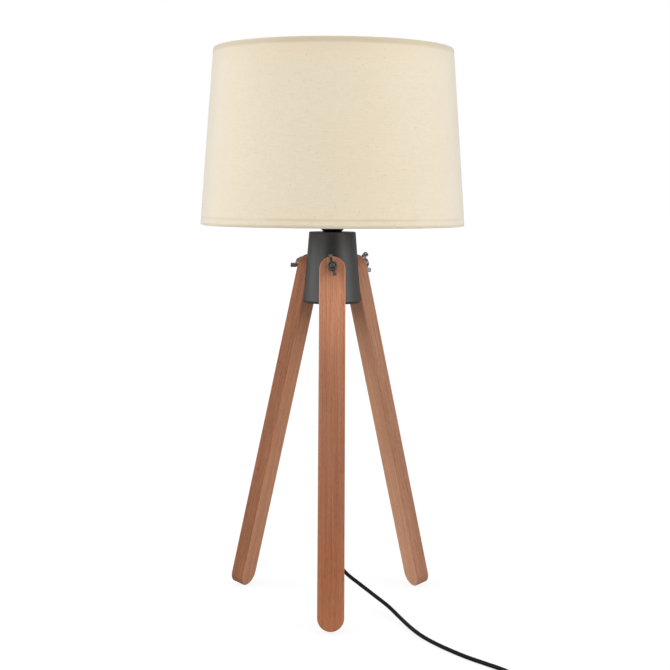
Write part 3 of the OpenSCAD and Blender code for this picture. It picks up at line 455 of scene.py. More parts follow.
def placed(name, data):
    """A new object of the scene that shows this data."""
    data.name = name
    piece = bpy.data.objects.new(name, data)
    bpy.context.scene.collection.objects.link(piece)
    return piece


def own_copy(node, name):
    """A copy of a frame node's mesh with its corners merged, as the only selected object."""
    piece = placed(name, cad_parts[node].data.copy())
    piece.data.materials.clear()
    with editing(piece):
        bpy.ops.mesh.customdata_custom_splitnormals_clear()
    tidy_mesh(piece, 0.00001)
    return piece


def modify(piece, kind, **settings):
    """Adds a modifier and applies it."""
    modifier = piece.modifiers.new(kind.title(), kind)
    for key, value in settings.items():
        setattr(modifier, key, value)
    bpy.context.view_layer.objects.active = piece
    bpy.ops.object.modifier_apply(modifier=modifier.name)


def finish_piece(piece, slot, material, *nodes, body="stand", smooth=40.0):
    """Gives a new piece its shading, finish, body and the nodes that it stands for."""
    choose(piece)
    if piece.type == "MESH":
        bpy.ops.object.transform_apply(location=True, rotation=True, scale=True)
        bpy.ops.object.shade_smooth_by_angle(angle=math.radians(smooth))
    piece.data.materials.clear()
    piece.data.materials.append(material)
    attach(piece, body)
    if nodes:
        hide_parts(*nodes)


def repaint(material, *nodes):
    """Gives frame nodes a better finish in their own slots."""
    for node in nodes:
        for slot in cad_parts[node].material_slots:
            slot.material = material


def cast(node, name, voxel, rounds):
    """A copy of a node with the soft edges of a casting or a moulding."""
    piece = own_copy(node, name)
    modify(piece, "REMESH", mode="VOXEL", voxel_size=voxel, adaptivity=0.0)
    modify(piece, "SMOOTH", factor=0.5, iterations=rounds)
    return piece


def chamfered(node, name, width, slot, material, body="stand", segments=2):
    """A finished piece: a copy of a node with its edges rounded by a bevel."""
    piece = own_copy(node, name)
    with editing(piece):
        bpy.ops.mesh.dissolve_limited(angle_limit=math.radians(0.5))
    modify(
        piece, "BEVEL", width=width, segments=segments, limit_method="ANGLE",
        angle_limit=math.radians(30.0))
    finish_piece(piece, slot, material, node, body=body, smooth=35.0)


def drawn(name, points):
    """A line of edges: a small circle merged to one point, and that point extruded along."""
    piece = begin(bpy.ops.mesh.primitive_circle_add, name, vertices=3, radius=0.001)
    with editing(piece):
        bpy.ops.mesh.select_mode(type="VERT")
        bpy.ops.mesh.select_all(action="SELECT")
        bpy.ops.mesh.merge(type="CENTER")
        bpy.ops.transform.translate(value=points[0])
        for before, after in zip(points, points[1:]):
            step = [b - a for a, b in zip(before, after)]
            bpy.ops.mesh.extrude_region_move(TRANSFORM_OT_translate={"value": step})
    return piece


def eased(corners, radius, closed=False):
    """The corners of a section, each rounded by a short arc.

    A corner's third value is its own radius.
    """
    line = []
    count = len(corners)
    for i, corner in enumerate(corners):
        here = Vector(corner[:2])
        size = corner[2] if len(corner) > 2 else radius
        if size == 0 or (not closed and i in (0, count - 1)):
            line.append(tuple(here))
            continue
        before = Vector(corners[i - 1][:2]) - here
        after = Vector(corners[(i + 1) % count][:2]) - here
        reach = min(size, before.length * 0.45, after.length * 0.45)
        a, b = here + before.normalized() * reach, here + after.normalized() * reach
        for k in range(4):
            t = k / 3
            line.append(tuple(a * (1 - t) ** 2 + here * 2 * t * (1 - t) + b * t * t))
    return line


def wind(piece, sides, pitch=0.0, turns=1):
    """Winds a line of edges round the z axis."""
    modify(
        piece, "SCREW", screw_offset=pitch, iterations=turns, steps=sides, render_steps=sides,
        angle=2 * math.pi, axis="Z", use_merge_vertices=True, merge_threshold=MERGE)


def turned(name, section, sides=96):
    """A part turned on a lathe from its section of radii and heights."""
    piece = drawn(name, [(r, 0.0, z) for r, z in section])
    wind(piece, sides)
    tidy_mesh(piece)
    return piece


def turned_ring(name, section, radius, sides=96):
    """A turned part with a bore, from a closed section with rounded corners."""
    line = eased(section, radius, closed=True)
    return turned(name, line + line[:1], sides)


def helix(name, section, pitch, turns, sides=32):
    """A section wound up round the z axis."""
    piece = drawn(name, [(r, 0.0, z) for r, z in section])
    wind(piece, sides, pitch, turns)
    return piece


def combine(piece, tool, operation):
    """Cuts a piece with a tool, or joins or crosses the two, and removes the tool."""
    modify(piece, "BOOLEAN", operation=operation, object=tool, solver="EXACT")
    bpy.data.objects.remove(tool)
    tidy_mesh(piece)
    return piece


def cut_thread(piece, root, pitch, low, high, sides=32):
    """Cuts a screw thread into a round part, from a low to a high level."""
    reach = pitch * 0.95
    deep = pitch * 0.60
    groove = [
        (root, -pitch * 0.06), (root + deep * 1.5, -reach / 2), (root + deep * 1.5, reach / 2),
        (root, pitch * 0.06), (root, -pitch * 0.06)]
    turns = math.ceil((high - low) / pitch)
    cutter = helix("cutter", [(r, z + low) for r, z in groove], pitch, turns, sides)
    with editing(cutter):
        bpy.ops.mesh.remove_doubles(threshold=MERGE)
        bpy.ops.mesh.fill_holes(sides=0)
        turn_outwards()
    return combine(piece, cutter, "DIFFERENCE")


def hexagon(name, across, low, high, chamfer=0.0006):
    """A hexagonal head or nut with its corners turned off."""
    radius = across / 2 / math.cos(math.pi / 6)
    piece = begin(
        bpy.ops.mesh.primitive_cylinder_add, name, vertices=6, radius=radius,
        depth=high - low, location=(0, 0, (low + high) / 2))
    bpy.ops.object.transform_apply(location=True)
    edge = across / 2 * 1.01
    cone = turned("cone", [
        (0, low), (edge, low), (radius * 1.01, low + chamfer), (radius * 1.01, high - chamfer),
        (edge, high), (0, high)], 72)
    return combine(piece, cone, "INTERSECT")


def put(piece, matrix):
    """Moves a piece's mesh to its place in the lamp."""
    piece.data.transform(matrix)
    piece.data.update()
    return piece


def leg_matrix(leg):
    """The place of a leg: z out of its face, x down the leg."""
    turn = Matrix.Rotation(math.radians(LEG_ANGLES[leg]), 4, "Z")
    lean = Matrix.Rotation(math.pi / 2 - LEG_LEAN, 4, "Y")
    return turn @ Matrix.Translation((LEG_FACE_R, 0, LEG_TOP_Z)) @ lean


def bolt_matrix(leg):
    return leg_matrix(leg) @ Matrix.Translation((-BOLT_UP, 0, 0))


def metres(points):
    return [Vector(p) / 1000 for p in points]


def smooth_route(route):
    """Points along a smooth curve through a route that is given in millimetres."""
    points = metres(route)
    line = []
    for i in range(len(points) - 1):
        b, c = points[i], points[i + 1]
        a = points[i - 1] if i else 2 * b - c
        d = points[i + 2] if i + 2 < len(points) else 2 * c - b
        count = max(1, round((c - b).length / ROUTE_STEP))
        for k in range(count):
            t = k / count
            line.append(0.5 * (
                2 * b + (c - a) * t + (2 * a - 5 * b + 4 * c - d) * t * t
                + (3 * b - a - 3 * c + d) * t ** 3))
    line.append(points[-1])
    return line


# ---------------------------------------------------------------- stage

class LAMP_OT_stage(bpy.types.Operator):
    """Make the camera, the pale floor and the soft studio light"""

    bl_idname = "lamp.stage"
    bl_label = "Stage"

    camera_place = (-0.00911, -1.5623, 0.4730)
    camera_tilt = math.radians(84.10)
    camera_turn = math.radians(-0.47)
    camera_roll = math.radians(0.38)
    light_aim = Vector((0, 0, 0.36))
    softboxes = (
        ("left_front_softbox", (-1.35, -1.25, 0.95), (1.0, 1.6)),
        ("right_front_softbox", (1.35, -1.20, 0.90), (1.0, 1.6)),
        ("left_side_softbox", (-1.90, 0.05, 1.05), (1.2, 1.2)),
        ("right_side_softbox", (1.85, -0.45, 1.05), (1.2, 1.2)))

    def execute(self, context):
        settings = context.scene.lamp_stage
        self.add_camera(context, settings)
        self.add_surroundings(context, settings)
        self.add_floor()
        for softbox, power in zip(self.softboxes, (*settings.front_power, *settings.side_power)):
            self.add_softbox(*softbox, power)
        return {"FINISHED"}

    def add_camera(self, context, settings):
        data = bpy.data.cameras.new("camera")
        camera = placed("camera", data)
        data.sensor_width = 36.0
        data.lens = settings.lens
        data.clip_end = 100.0
        camera.location = self.camera_place
        camera.rotation_mode = "QUATERNION"
        aim = Euler((self.camera_tilt, 0, self.camera_turn)).to_quaternion()
        camera.rotation_quaternion = aim @ Quaternion((0, 0, 1), self.camera_roll)
        context.scene.camera = camera
        context.scene.view_settings.view_transform = "Standard"

    def add_surroundings(self, context, settings):
        """White in the picture; as light, a soft room with a darker gap behind the camera."""
        world = context.scene.world or bpy.data.worlds.new("surroundings")
        context.scene.world = world
        world.use_nodes = True
        room = NodeTree(world.node_tree)
        room.tree.nodes.clear()
        _, depth, _ = room.parts(room.node("ShaderNodeTexCoord", output="Generated"))
        light = settings.front + depth.step(-0.7, 0.7) * (settings.back - settings.front)
        light = light * (settings.gap + depth.step(-0.97, -0.70) * (1 - settings.gap))
        lit = room.node(
            "ShaderNodeBackground", None, {"Color": (0.985, 0.99, 1.0), "Strength": light})
        seen = room.node("ShaderNodeBackground", None, {"Color": (1.0, 1.0, 1.0)})
        by_camera = room.node("ShaderNodeLightPath", output="Is Camera Ray")
        mixed = room.node("ShaderNodeMixShader", None, {0: by_camera, 1: lit, 2: seen})
        room.node("ShaderNodeOutputWorld", None, {0: mixed}, output=None)

    def add_floor(self):
        """A pale floor that shines a little by itself, and further away only by itself."""
        floor = begin(
            bpy.ops.mesh.primitive_plane_add, "floor", size=60.0, location=(0, 0, -0.0002))
        finish = Finish("pale_floor")
        place = finish.place()
        x, y, _ = finish.parts(place)
        far = (x * x + y * y).step(0.16, 1.0)  # from 0.4 to 1 m
        grain = finish.noise(place, 60)
        finish.surface(
            Base_Color=finish.mix(grain, (0.90, 0.90, 0.90), (0.93, 0.93, 0.93)), Roughness=0.8)
        by_camera = finish.node("ShaderNodeLightPath", output="Is Camera Ray")
        shine = finish.node(
            "ShaderNodeEmission", None, {"Color": (1, 1, 1), "Strength": 0.25 + by_camera * 0.79})
        matt = Channel(finish, finish.shader.outputs[0])
        mixed = finish.node("ShaderNodeMixShader", None, {0: 0.80 + far * 0.20, 1: matt, 2: shine})
        finish.put(finish.tree.nodes["Material Output"].inputs[0], mixed)
        floor.data.materials.append(finish.material)
        floor.visible_diffuse = False

    def add_softbox(self, name, place, size, power):
        data = bpy.data.lights.new(name, "AREA")
        data.shape = "RECTANGLE"
        data.size, data.size_y = size
        data.energy = power
        light = placed(name, data)
        light.location = place
        aim = self.light_aim - Vector(place)
        light.rotation_mode = "QUATERNION"
        light.rotation_quaternion = aim.to_track_quat("-Z", "Y")


# ---------------------------------------------------------------- cord

# The cord's route, in millimetres, the same as that of the solid cord
CORD_LINE_Y = -312  # the switch, the coil's start and the plug lie on this line
FEED_ROUTE = (
    (0, 0, 295.587), (0, 0, 260), (0, 0, 225), (0, 0, 190),
    (-1, 1, 155), (-4, 3, 120), (-5, 4, 95), (-3, 3, 73), (4, -2, 53), (17, -11, 36),
    (34, -23, 25), (51, -39, 16), (65, -58, 10), (76, -80, 5), (84, -102, 3),
    (92, -125, 2.3), (101, -147, 2.3), (113, -169, 2.3), (126, -189, 2.3),
    (140, -208, 2.3), (155, -225, 2.3), (170, -242, 2.3), (179, -256, 2.3),
    (182, -270, 2.3), (180, -284, 2.3), (173, -297, 2.4), (161, -306, 3),
    (148, -311, 4.5), (140, CORD_LINE_Y, 6), (135, CORD_LINE_Y, 7), (132, CORD_LINE_Y, 7),
)
LINK_ROUTE = [(x, CORD_LINE_Y, z) for x, z in (
    (72, 7), (67, 7), (60, 6.2), (51, 4.2), (44, 3.2), (38.4, 3.2))]
TAIL_ROUTE = [(x, CORD_LINE_Y, z) for x, z in (
    (29.6, 8.2), (25, 8.2), (20, 7.4), (16.4, 6.85), (12, 6.85))]
COIL_X, COIL_Y = 34.0, -345.5
COIL_IN_R = 18.5
COIL_PITCH = 5.0
COIL_TURNS = 3
COIL_Z = 3.2
COIL_STEP = 15  # degrees between two points
COIL_CLIMB = 90  # degrees before and after its middle, in which it climbs a layer


def coil_line():
    """The coil winds in on the floor, climbs a layer and winds out again."""
    line = []
    half = 360 * COIL_TURNS
    for u in range(-half, half + 1, COIL_STEP):
        run = (u * u / COIL_CLIMB + COIL_CLIMB) / 2 if abs(u) < COIL_CLIMB else abs(u)
        radius = COIL_IN_R + COIL_PITCH / 360 * run
        share = min(1.0, max(0.0, (u / COIL_CLIMB + 1) / 2))
        height = COIL_Z + COIL_PITCH * share * share * (3 - 2 * share)
        angle = math.radians(90 + u)
        line.append((COIL_X + radius * math.cos(angle), COIL_Y + radius * math.sin(angle), height))
    return line


class LAMP_OT_cord(bpy.types.Operator):
    """Make the mains lead: the part up to the switch and the coil of spare cord"""

    bl_idname = "lamp.cord"
    bl_label = "Cord"

    def execute(self, context):
        settings = context.scene.lamp_cord
        sheath = plain(
            "cord_sheath", settings.colour, 0.50, grain=700.0, relief=0.08, spread=0.10,
            Specular_IOR_Level=0.12)
        feed_exit = Vector((0, 0, GRIP_END_Z))
        feed = [feed_exit] + smooth_route(FEED_ROUTE)
        rest = smooth_route(LINK_ROUTE) + metres(coil_line()) + smooth_route(TAIL_ROUTE)
        lead = self.add_cord("lead_to_switch", feed, settings.diameter)
        finish_piece(lead, "cord_black", sheath, "cord_feed")
        spare = self.add_cord("spare_lead", rest, settings.diameter)
        finish_piece(spare, "cord_black", sheath, "cord_link", "cord_coil", "cord_tail")
        repaint(sheath, "cord_inner")
        return {"FINISHED"}

    def add_cord(self, name, line, diameter):
        curve = bpy.data.curves.new(name, "CURVE")
        curve.dimensions = "3D"
        spline = curve.splines.new("POLY")
        spline.points.add(len(line) - 1)
        for point, place in zip(spline.points, line):
            point.co = (*place, 1.0)
        curve.bevel_depth = diameter / 2
        curve.bevel_resolution = 5
        curve.use_fill_caps = True
        return placed(name, curve)


# ---------------------------------------------------------------- shade

def shade_r(z):
    share = (z - SHADE_Z) / (SHADE_TOP_Z - SHADE_Z)
    return SHADE_BOTTOM_R + (SHADE_TOP_R - SHADE_BOTTOM_R) * share


class LAMP_OT_shade(bpy.types.Operator):
    """Make the woven cover, turned in over both edge wires, and its seam; give the lining and wires
    their finish
    """

    bl_idname = "lamp.shade"
    bl_label = "Shade"

    arc_steps = 12
    face_steps = 22
    seam_wide = 0.012

    def execute(self, context):
        settings = context.scene.lamp_shade
        cloth = linen("woven_cloth", settings.colour, settings.thread)
        profile = self.profile()
        cover = self.add_cover(profile, settings.sides)
        seam = self.add_seam()
        for piece, nodes in ((cover, ["shade_cover"]), (seam, [])):
            finish_piece(piece, "shade_cloth", cloth, *nodes, smooth=60.0)
            self.unroll(piece)
        lining = plain(
            "lining_film", (0.80, 0.79, 0.75), 0.55, grain=9000.0, relief=0.05, spread=0.08)
        enamel = plain("white_enamel", (0.74, 0.73, 0.70), 0.32, grain=500.0, relief=0.05)
        repaint(lining, "shade_liner")
        repaint(enamel, "shade_frame", "shade_top_wire")
        return {"FINISHED"}

    def profile(self):
        """Radius and height of the cloth's middle, from the lower strip's edge to the upper's."""
        mid = CLOTH_THICK / 2
        inner = 2 * CLOTH_THICK + LINER_THICK + LINER_GAP - mid
        high = WIRE_TOP_Z - WIRE_Z
        strip = [HEM_DEPTH * k for k in (0.5, 0.75, 1.0)]
        low_strip = [WIRE_Z + up for up in reversed(strip)]
        face = [WIRE_Z + high * i / self.face_steps for i in range(1, self.face_steps)]
        top_strip = [WIRE_TOP_Z - down for down in strip]
        return [
            *((shade_r(z) - inner, z) for z in low_strip),
            *self.roll(WIRE_Z, 180, 360),
            *((shade_r(z) - mid, z) for z in face),
            *self.roll(WIRE_TOP_Z, 0, 180),
            *((shade_r(z) - inner, z) for z in top_strip)]

    def roll(self, z, start, stop):
        centre = shade_r(z) - ROLL_R
        radius = ROLL_R - CLOTH_THICK / 2
        steps = range(self.arc_steps + 1)
        angles = [math.radians(start + (stop - start) * i / self.arc_steps) for i in steps]
        return [(centre + radius * math.cos(a), z + radius * math.sin(a)) for a in angles]

    def add_cover(self, profile, sides):
        """Extrudes a ring of edges along the profile and gives it the cloth's thickness."""
        radius, height = profile[0]
        piece = begin(
            bpy.ops.mesh.primitive_circle_add, "shade_cloth", vertices=sides, radius=radius,
            rotation=(0, 0, math.pi / 2))
        bpy.ops.object.transform_apply(rotation=True)
        with editing(piece):
            bpy.ops.transform.translate(value=(0, 0, height))
            for next_radius, next_height in profile[1:]:
                rise = (0, 0, next_height - height)
                bpy.ops.mesh.extrude_region_move(TRANSFORM_OT_translate={"value": rise})
                grow = next_radius / radius
                centre = (0, 0, next_height)
                bpy.ops.transform.resize(value=(grow, grow, 1), center_override=centre)
                radius, height = next_radius, next_height
            bpy.ops.mesh.select_all(action="SELECT")
            turn_outwards()
        modify(piece, "SOLIDIFY", thickness=CLOTH_THICK, offset=0.0)
        return piece

    def add_seam(self):
        """The cloth's two ends overlap in one upright seam at the back."""
        piece = begin(
            bpy.ops.mesh.primitive_grid_add, "shade_seam", x_subdivisions=8, y_subdivisions=30,
            size=1.0)
        proud = CLOTH_THICK * 0.3
        for vertex in piece.data.vertices:
            z = WIRE_Z + (WIRE_TOP_Z - WIRE_Z) * (vertex.co.y + 0.5)
            radius = shade_r(z) + proud
            angle = vertex.co.x * self.seam_wide / SHADE_BOTTOM_R
            vertex.co = (radius * math.sin(angle), radius * math.cos(angle), z)
        with editing(piece):
            turn_outwards()
        modify(piece, "SOLIDIFY", thickness=CLOTH_THICK * 0.6, offset=0.0)
        return piece

    def unroll(self, piece):
        """Lays the cloth flat in its own map: metres round the shade and metres up."""
        mesh = piece.data
        while mesh.uv_layers:
            mesh.uv_layers.remove(mesh.uv_layers[0])
        layer = mesh.uv_layers.new(name="cloth")
        for polygon in mesh.polygons:
            places = [mesh.vertices[mesh.loops[i].vertex_index].co for i in polygon.loop_indices]
            angles = [math.atan2(p.x, -p.y) for p in places]
            if max(angles) - min(angles) > math.pi:
                angles = [a + 2 * math.pi if a < 0 else a for a in angles]
            for loop, place, angle in zip(polygon.loop_indices, places, angles):
                layer.data[loop].uv = (angle * SHADE_MEAN_R, place.z)


# ---------------------------------------------------------------- stand

class LAMP_OT_legs(bpy.types.Operator):
    """Give the three legs their wood, with the grain along each"""

    bl_idname = "lamp.legs"
    bl_label = "Legs"

    # Painted light, partly the wood's own change: each leg's tone from the top to the foot,
    # as stops of share and colour. It is painted lighter at the top against the shade's shadow, and
    # lighter or darker per leg by how light falls on it. The second table gives how much paler its
    # inner face is painted, as if more light fell on it
    tone_and_light_stops = {
        "front": (
            (0.00, (1.00, 1.00, 1.00)), (0.10, (1.00, 1.00, 1.00)), (0.28, (0.69, 0.66, 0.62)),
            (0.55, (0.58, 0.525, 0.47)), (0.84, (0.58, 0.465, 0.355)), (1.00, (0.67, 0.57, 0.44))),
        "right": (
            (0.00, (0.80, 0.81, 0.82)), (0.14, (0.680, 0.73, 0.75)), (1.00, (0.64, 0.68, 0.69))),
        "left": (
            (0.00, (0.66, 0.56, 0.45)), (0.14, (0.565, 0.50, 0.405)), (1.00, (0.50, 0.435, 0.355))),
    }
    inner_painted_light = {
        "front": (1.0, 1.0, 1.0), "right": (1.42, 1.55, 1.56), "left": (1.55, 1.88, 2.22)}

    def execute(self, context):
        settings = context.scene.lamp_wood
        for number, leg in enumerate(LEG_NAMES):
            seed = 3.7 + 11.3 * number
            material = wood(
                leg, (settings.light, settings.dark), seed, self.tone_and_light_stops[leg],
                self.inner_painted_light[leg])
            repaint(material, "leg_" + leg)
        return {"FINISHED"}


class LAMP_OT_hub(bpy.types.Operator):
    """Give the hub its powder coat and make the tube, its nuts and the cord grip"""

    bl_idname = "lamp.hub"
    bl_label = "Hub"

    tube_r = 0.005
    tube_bore_r = 0.0035
    tube_root = 0.00448
    tube_pitch = 0.001
    low_thread = 0.016
    high_thread = 0.018
    nut_across = 0.014
    nut_bore_r = 0.00505
    cord_bore_r = 0.0023
    grip_r = 0.0075
    tail_r = 0.0037
    tail_top_r = 0.0055
    tail_long = 0.022
    tail_grooves = 5
    groove_deep = 0.0009
    socket_deep = 0.0059

    def execute(self, context):
        coat = powder_coat("powder_coat", context.scene.lamp_metal.hub)
        repaint(coat, "hub_casting", "hub_bottom_plate")
        zinc = plain("zinc_plate", (0.52, 0.51, 0.48), 0.34, metallic=1.0, grain=1500.0)
        self.add_tube(zinc)
        self.add_nuts(zinc)
        self.add_grip()
        return {"FINISHED"}

    def add_tube(self, zinc):
        low, high = levels("threaded_tube")
        tube = turned_ring("fine_threaded_tube", [
            (self.tube_bore_r, low), (self.tube_r, low), (self.tube_r, high),
            (self.tube_bore_r, high)], 0.0004)
        for start, stop in (
                (low - 0.001, low + self.low_thread),
                (high - self.high_thread, high + 0.001)):
            cut_thread(tube, self.tube_root, self.tube_pitch, start, stop)
        finish_piece(tube, "zinc_steel", zinc, "threaded_tube", smooth=30.0)

    def add_nuts(self, zinc):
        for node in ("tube_nut_upper", "tube_nut_lower"):
            low, high = levels(node)
            nut = hexagon("turned_" + node, self.nut_across, low, high)
            bore = turned("bore", [
                (0, low - 0.001), (0.0058, low - 0.001), (0.0057, low),
                (self.nut_bore_r, low + 0.0006), (self.nut_bore_r, high - 0.0006),
                (0.0057, high), (0.0058, high + 0.001), (0, high + 0.001)], 72)
            combine(nut, bore, "DIFFERENCE")
            finish_piece(nut, "zinc_steel", zinc, node, smooth=30.0)

    def add_grip(self):
        """The grip's round collar and its grooved, tapering tail."""
        low, high = levels("cord_grip")
        tail_top = low + self.tail_long
        line = [(self.cord_bore_r, low), (self.tail_r, low, 0.0008)]
        steps = self.tail_grooves + 1
        for i in range(1, steps):
            z = low + self.tail_long * i / steps
            r = self.tail_r + (self.tail_top_r - self.tail_r) * i / steps
            root = r - self.groove_deep
            line += [(r, z - 0.0007), (root, z - 0.0006), (root, z + 0.0006), (r, z + 0.0007)]
        line += [
            (self.tail_top_r, tail_top, 0.001), (self.grip_r, tail_top + 0.001),
            (self.grip_r, high - 0.0008), (self.grip_r - 0.0008, high),
            (self.nut_bore_r, high), (self.nut_bore_r, high - self.socket_deep),
            (self.cord_bore_r, high - self.socket_deep)]
        grip = turned_ring("moulded_cord_grip", line, 0.00025)
        nylon = plain("black_nylon", (0.016, 0.016, 0.017), 0.48)
        finish_piece(grip, "grip_black", nylon, "cord_grip", smooth=35.0)


class LAMP_OT_fastenings(bpy.types.Operator):
    """Make the bolts with their threads, the washers and the cast wing nuts"""

    bl_idname = "lamp.fastenings"
    bl_label = "Fastenings"

    thread_pitch = 0.0008
    thread_root = 0.00205
    chamfer = 0.0007
    head_across = 0.008
    head_thick = 0.0035
    wall = 0.003
    thread_long = 0.0135
    washer_r = 0.005
    washer_thick = 0.001
    boss_thick = 0.0075

    def execute(self, context):
        dark = plain(
            "dark_plating", context.scene.lamp_metal.dark, 0.30, metallic=0.9, grain=1600.0,
            relief=0.22, spread=0.18)
        bolt = self.make_bolt()
        washer = self.make_washer()
        nut = self.make_nut()
        for leg in LEG_NAMES:
            place = bolt_matrix(leg)
            turn = Matrix.Rotation(math.radians(WING_TURNS[leg] - WING_TURNS["front"]), 4, "Z")
            for piece, name, node, body, matrix, smooth in (
                    (bolt, "threaded_bolt_", "bolt_", "stand", place, 30.0),
                    (washer, "pressed_washer_", "washer_", "washer_" + leg, place, 30.0),
                    (nut, "cast_wing_nut_", "wing_nut_", "wing_nut_" + leg, place @ turn, 40.0)):
                copy = put(placed(name + leg, piece.data.copy()), matrix)
                finish_piece(copy, "dark_steel", dark, node + leg, body=body, smooth=smooth)
        for piece in (bolt, washer, nut):
            bpy.data.objects.remove(piece)
        return {"FINISHED"}

    def make_bolt(self):
        """Hexagonal head, smooth shank and a thread up to the chamfered end."""
        end = BOLT_OUT
        shank = turned("shank", [
            (0, -self.wall - 0.001), (BOLT_R, -self.wall - 0.001), (BOLT_R, end - self.chamfer),
            (BOLT_R - self.chamfer, end), (0, end)], 48)
        cut_thread(shank, self.thread_root, self.thread_pitch, end - self.thread_long, end + 0.001)
        head = hexagon("head", self.head_across, -self.wall - self.head_thick, -self.wall, 0.0005)
        return combine(shank, head, "UNION")

    def make_washer(self):
        low, high = LEG_THICK, LEG_THICK + self.washer_thick
        return turned_ring("washer", [
            (BOLT_BORE_R, low), (self.washer_r, low), (self.washer_r, high), (BOLT_BORE_R, high)],
            0.00025, 72)

    def make_nut(self):
        """The front wing nut laid on the z axis, with a countersunk bore."""
        nut = cast("wing_nut_front", "nut", 0.00024, 5)
        put(nut, bolt_matrix("front").inverted())
        face = LEG_THICK + self.washer_thick + self.boss_thick
        cone = turned("countersink", [
            (0, face - 0.001), (BOLT_BORE_R, face - 0.001), (BOLT_BORE_R + 0.001, face + 0.0001),
            (BOLT_BORE_R + 0.001, face + 0.001), (0, face + 0.001)], 48)
        return combine(nut, cone, "DIFFERENCE")


# ---------------------------------------------------------------- holder and bulb

class LAMP_OT_holder(bpy.types.Operator):
    """Make the bulb holder with its screw thread, and the clamp ring on it"""

    bl_idname = "lamp.holder"
    bl_label = "Bulb Holder"

    outer_r = 0.0195
    wall = 0.0017
    neck_r = 0.01025
    neck_bore_r = 0.00515
    flare = 0.010641
    floor_thick = 0.0035
    shoulder_r = 0.0225
    shell_r = 0.0134
    thread_pitch = 0.003

    def execute(self, context):
        black = plain("black_moulding", (0.0095, 0.0092, 0.0092), 0.36, grain=800.0)
        self.add_cap(black)
        self.add_sleeve(black)
        chamfered(
            "clamp_ring", "ribbed_clamp_ring", 0.00025, "holder_black", black, "clamp_ring")
        pale = plain("pale_insulator", (0.72, 0.69, 0.61), 0.45)
        repaint(pale, "holder_core")
        brass = plain("pressed_brass", (0.66, 0.47, 0.19), 0.30, metallic=1.0, grain=1200.0)
        repaint(brass, "holder_centre_contact", "holder_terminals")
        self.add_shell(brass)
        return {"FINISHED"}

    def add_cap(self, black):
        """The flared cap with a fine groove below its edge and a ledge for the core."""
        low, high = levels("holder_cap")
        outer, inner = self.outer_r, self.outer_r - self.wall
        groove, ledge = outer - 0.0004, inner - 0.0023
        flare, floor = low + self.flare, low + self.floor_thick
        cap = turned_ring("flared_cap", [
            (self.neck_bore_r, low), (self.neck_r, low, 0.0002), (outer, flare, 0.003),
            (outer, high - 0.0062), (groove, high - 0.0058), (groove, high - 0.0052),
            (outer, high - 0.0048), (outer, high, 0.0003), (inner, high),
            (inner, high - 0.006), (ledge, high - 0.006), (ledge, flare, 0.002),
            (0.007, floor), (self.neck_bore_r, floor)], 0.0003)
        finish_piece(cap, "holder_black", black, "holder_cap", smooth=35.0)

    def add_sleeve(self, black):
        """The sleeve with its shoulder, and its thread from there up."""
        low, high = levels("holder_sleeve")
        shoulder = low + 0.012
        outer, inner = self.outer_r, self.outer_r - self.wall
        sleeve = turned_ring("threaded_sleeve", [
            (inner, low), (outer, low), (outer, shoulder - 0.006, 0.002),
            (self.shoulder_r, shoulder - 0.002), (self.shoulder_r, shoulder),
            (outer - 0.0001, shoulder, 0), (outer, high - 0.001), (outer - 0.0008, high),
            (inner, high)], 0.0003, 120)
        cut_thread(
            sleeve, outer - 0.0008, self.thread_pitch, shoulder + 0.002, high + 0.002, 60)
        finish_piece(sleeve, "holder_black", black, "holder_sleeve", smooth=30.0)

    def add_shell(self, brass):
        """Thin shell with the bulb's rolled thread."""
        low, high = levels("holder_thread_shell")
        shell = rolled_thread("rolled_shell", self.shell_r, 0.00015, low, high, 60)
        modify(shell, "SOLIDIFY", thickness=0.0003, offset=0.0)
        finish_piece(shell, "brass", brass, "holder_thread_shell", smooth=50.0)


def rolled_thread(name, radius, wave, low, high, sides):
    """A sheet with a bulb's soft screw thread rolled into it, cut off flat at both ends."""
    steps = 10
    start = low - BULB_PITCH
    section = [
        (radius + wave * math.cos(2 * math.pi * i / steps), start + BULB_PITCH * i / steps)
        for i in range(steps + 1)]
    piece = helix(name, section, BULB_PITCH, math.ceil((high - low) / BULB_PITCH) + 2, sides)
    tidy_mesh(piece)
    with editing(piece):
        for height, inner, outer in ((low, True, False), (high, False, True)):
            bpy.ops.mesh.select_all(action="SELECT")
            bpy.ops.mesh.bisect(
                plane_co=(0, 0, height), plane_no=(0, 0, 1), clear_inner=inner, clear_outer=outer)
    return piece


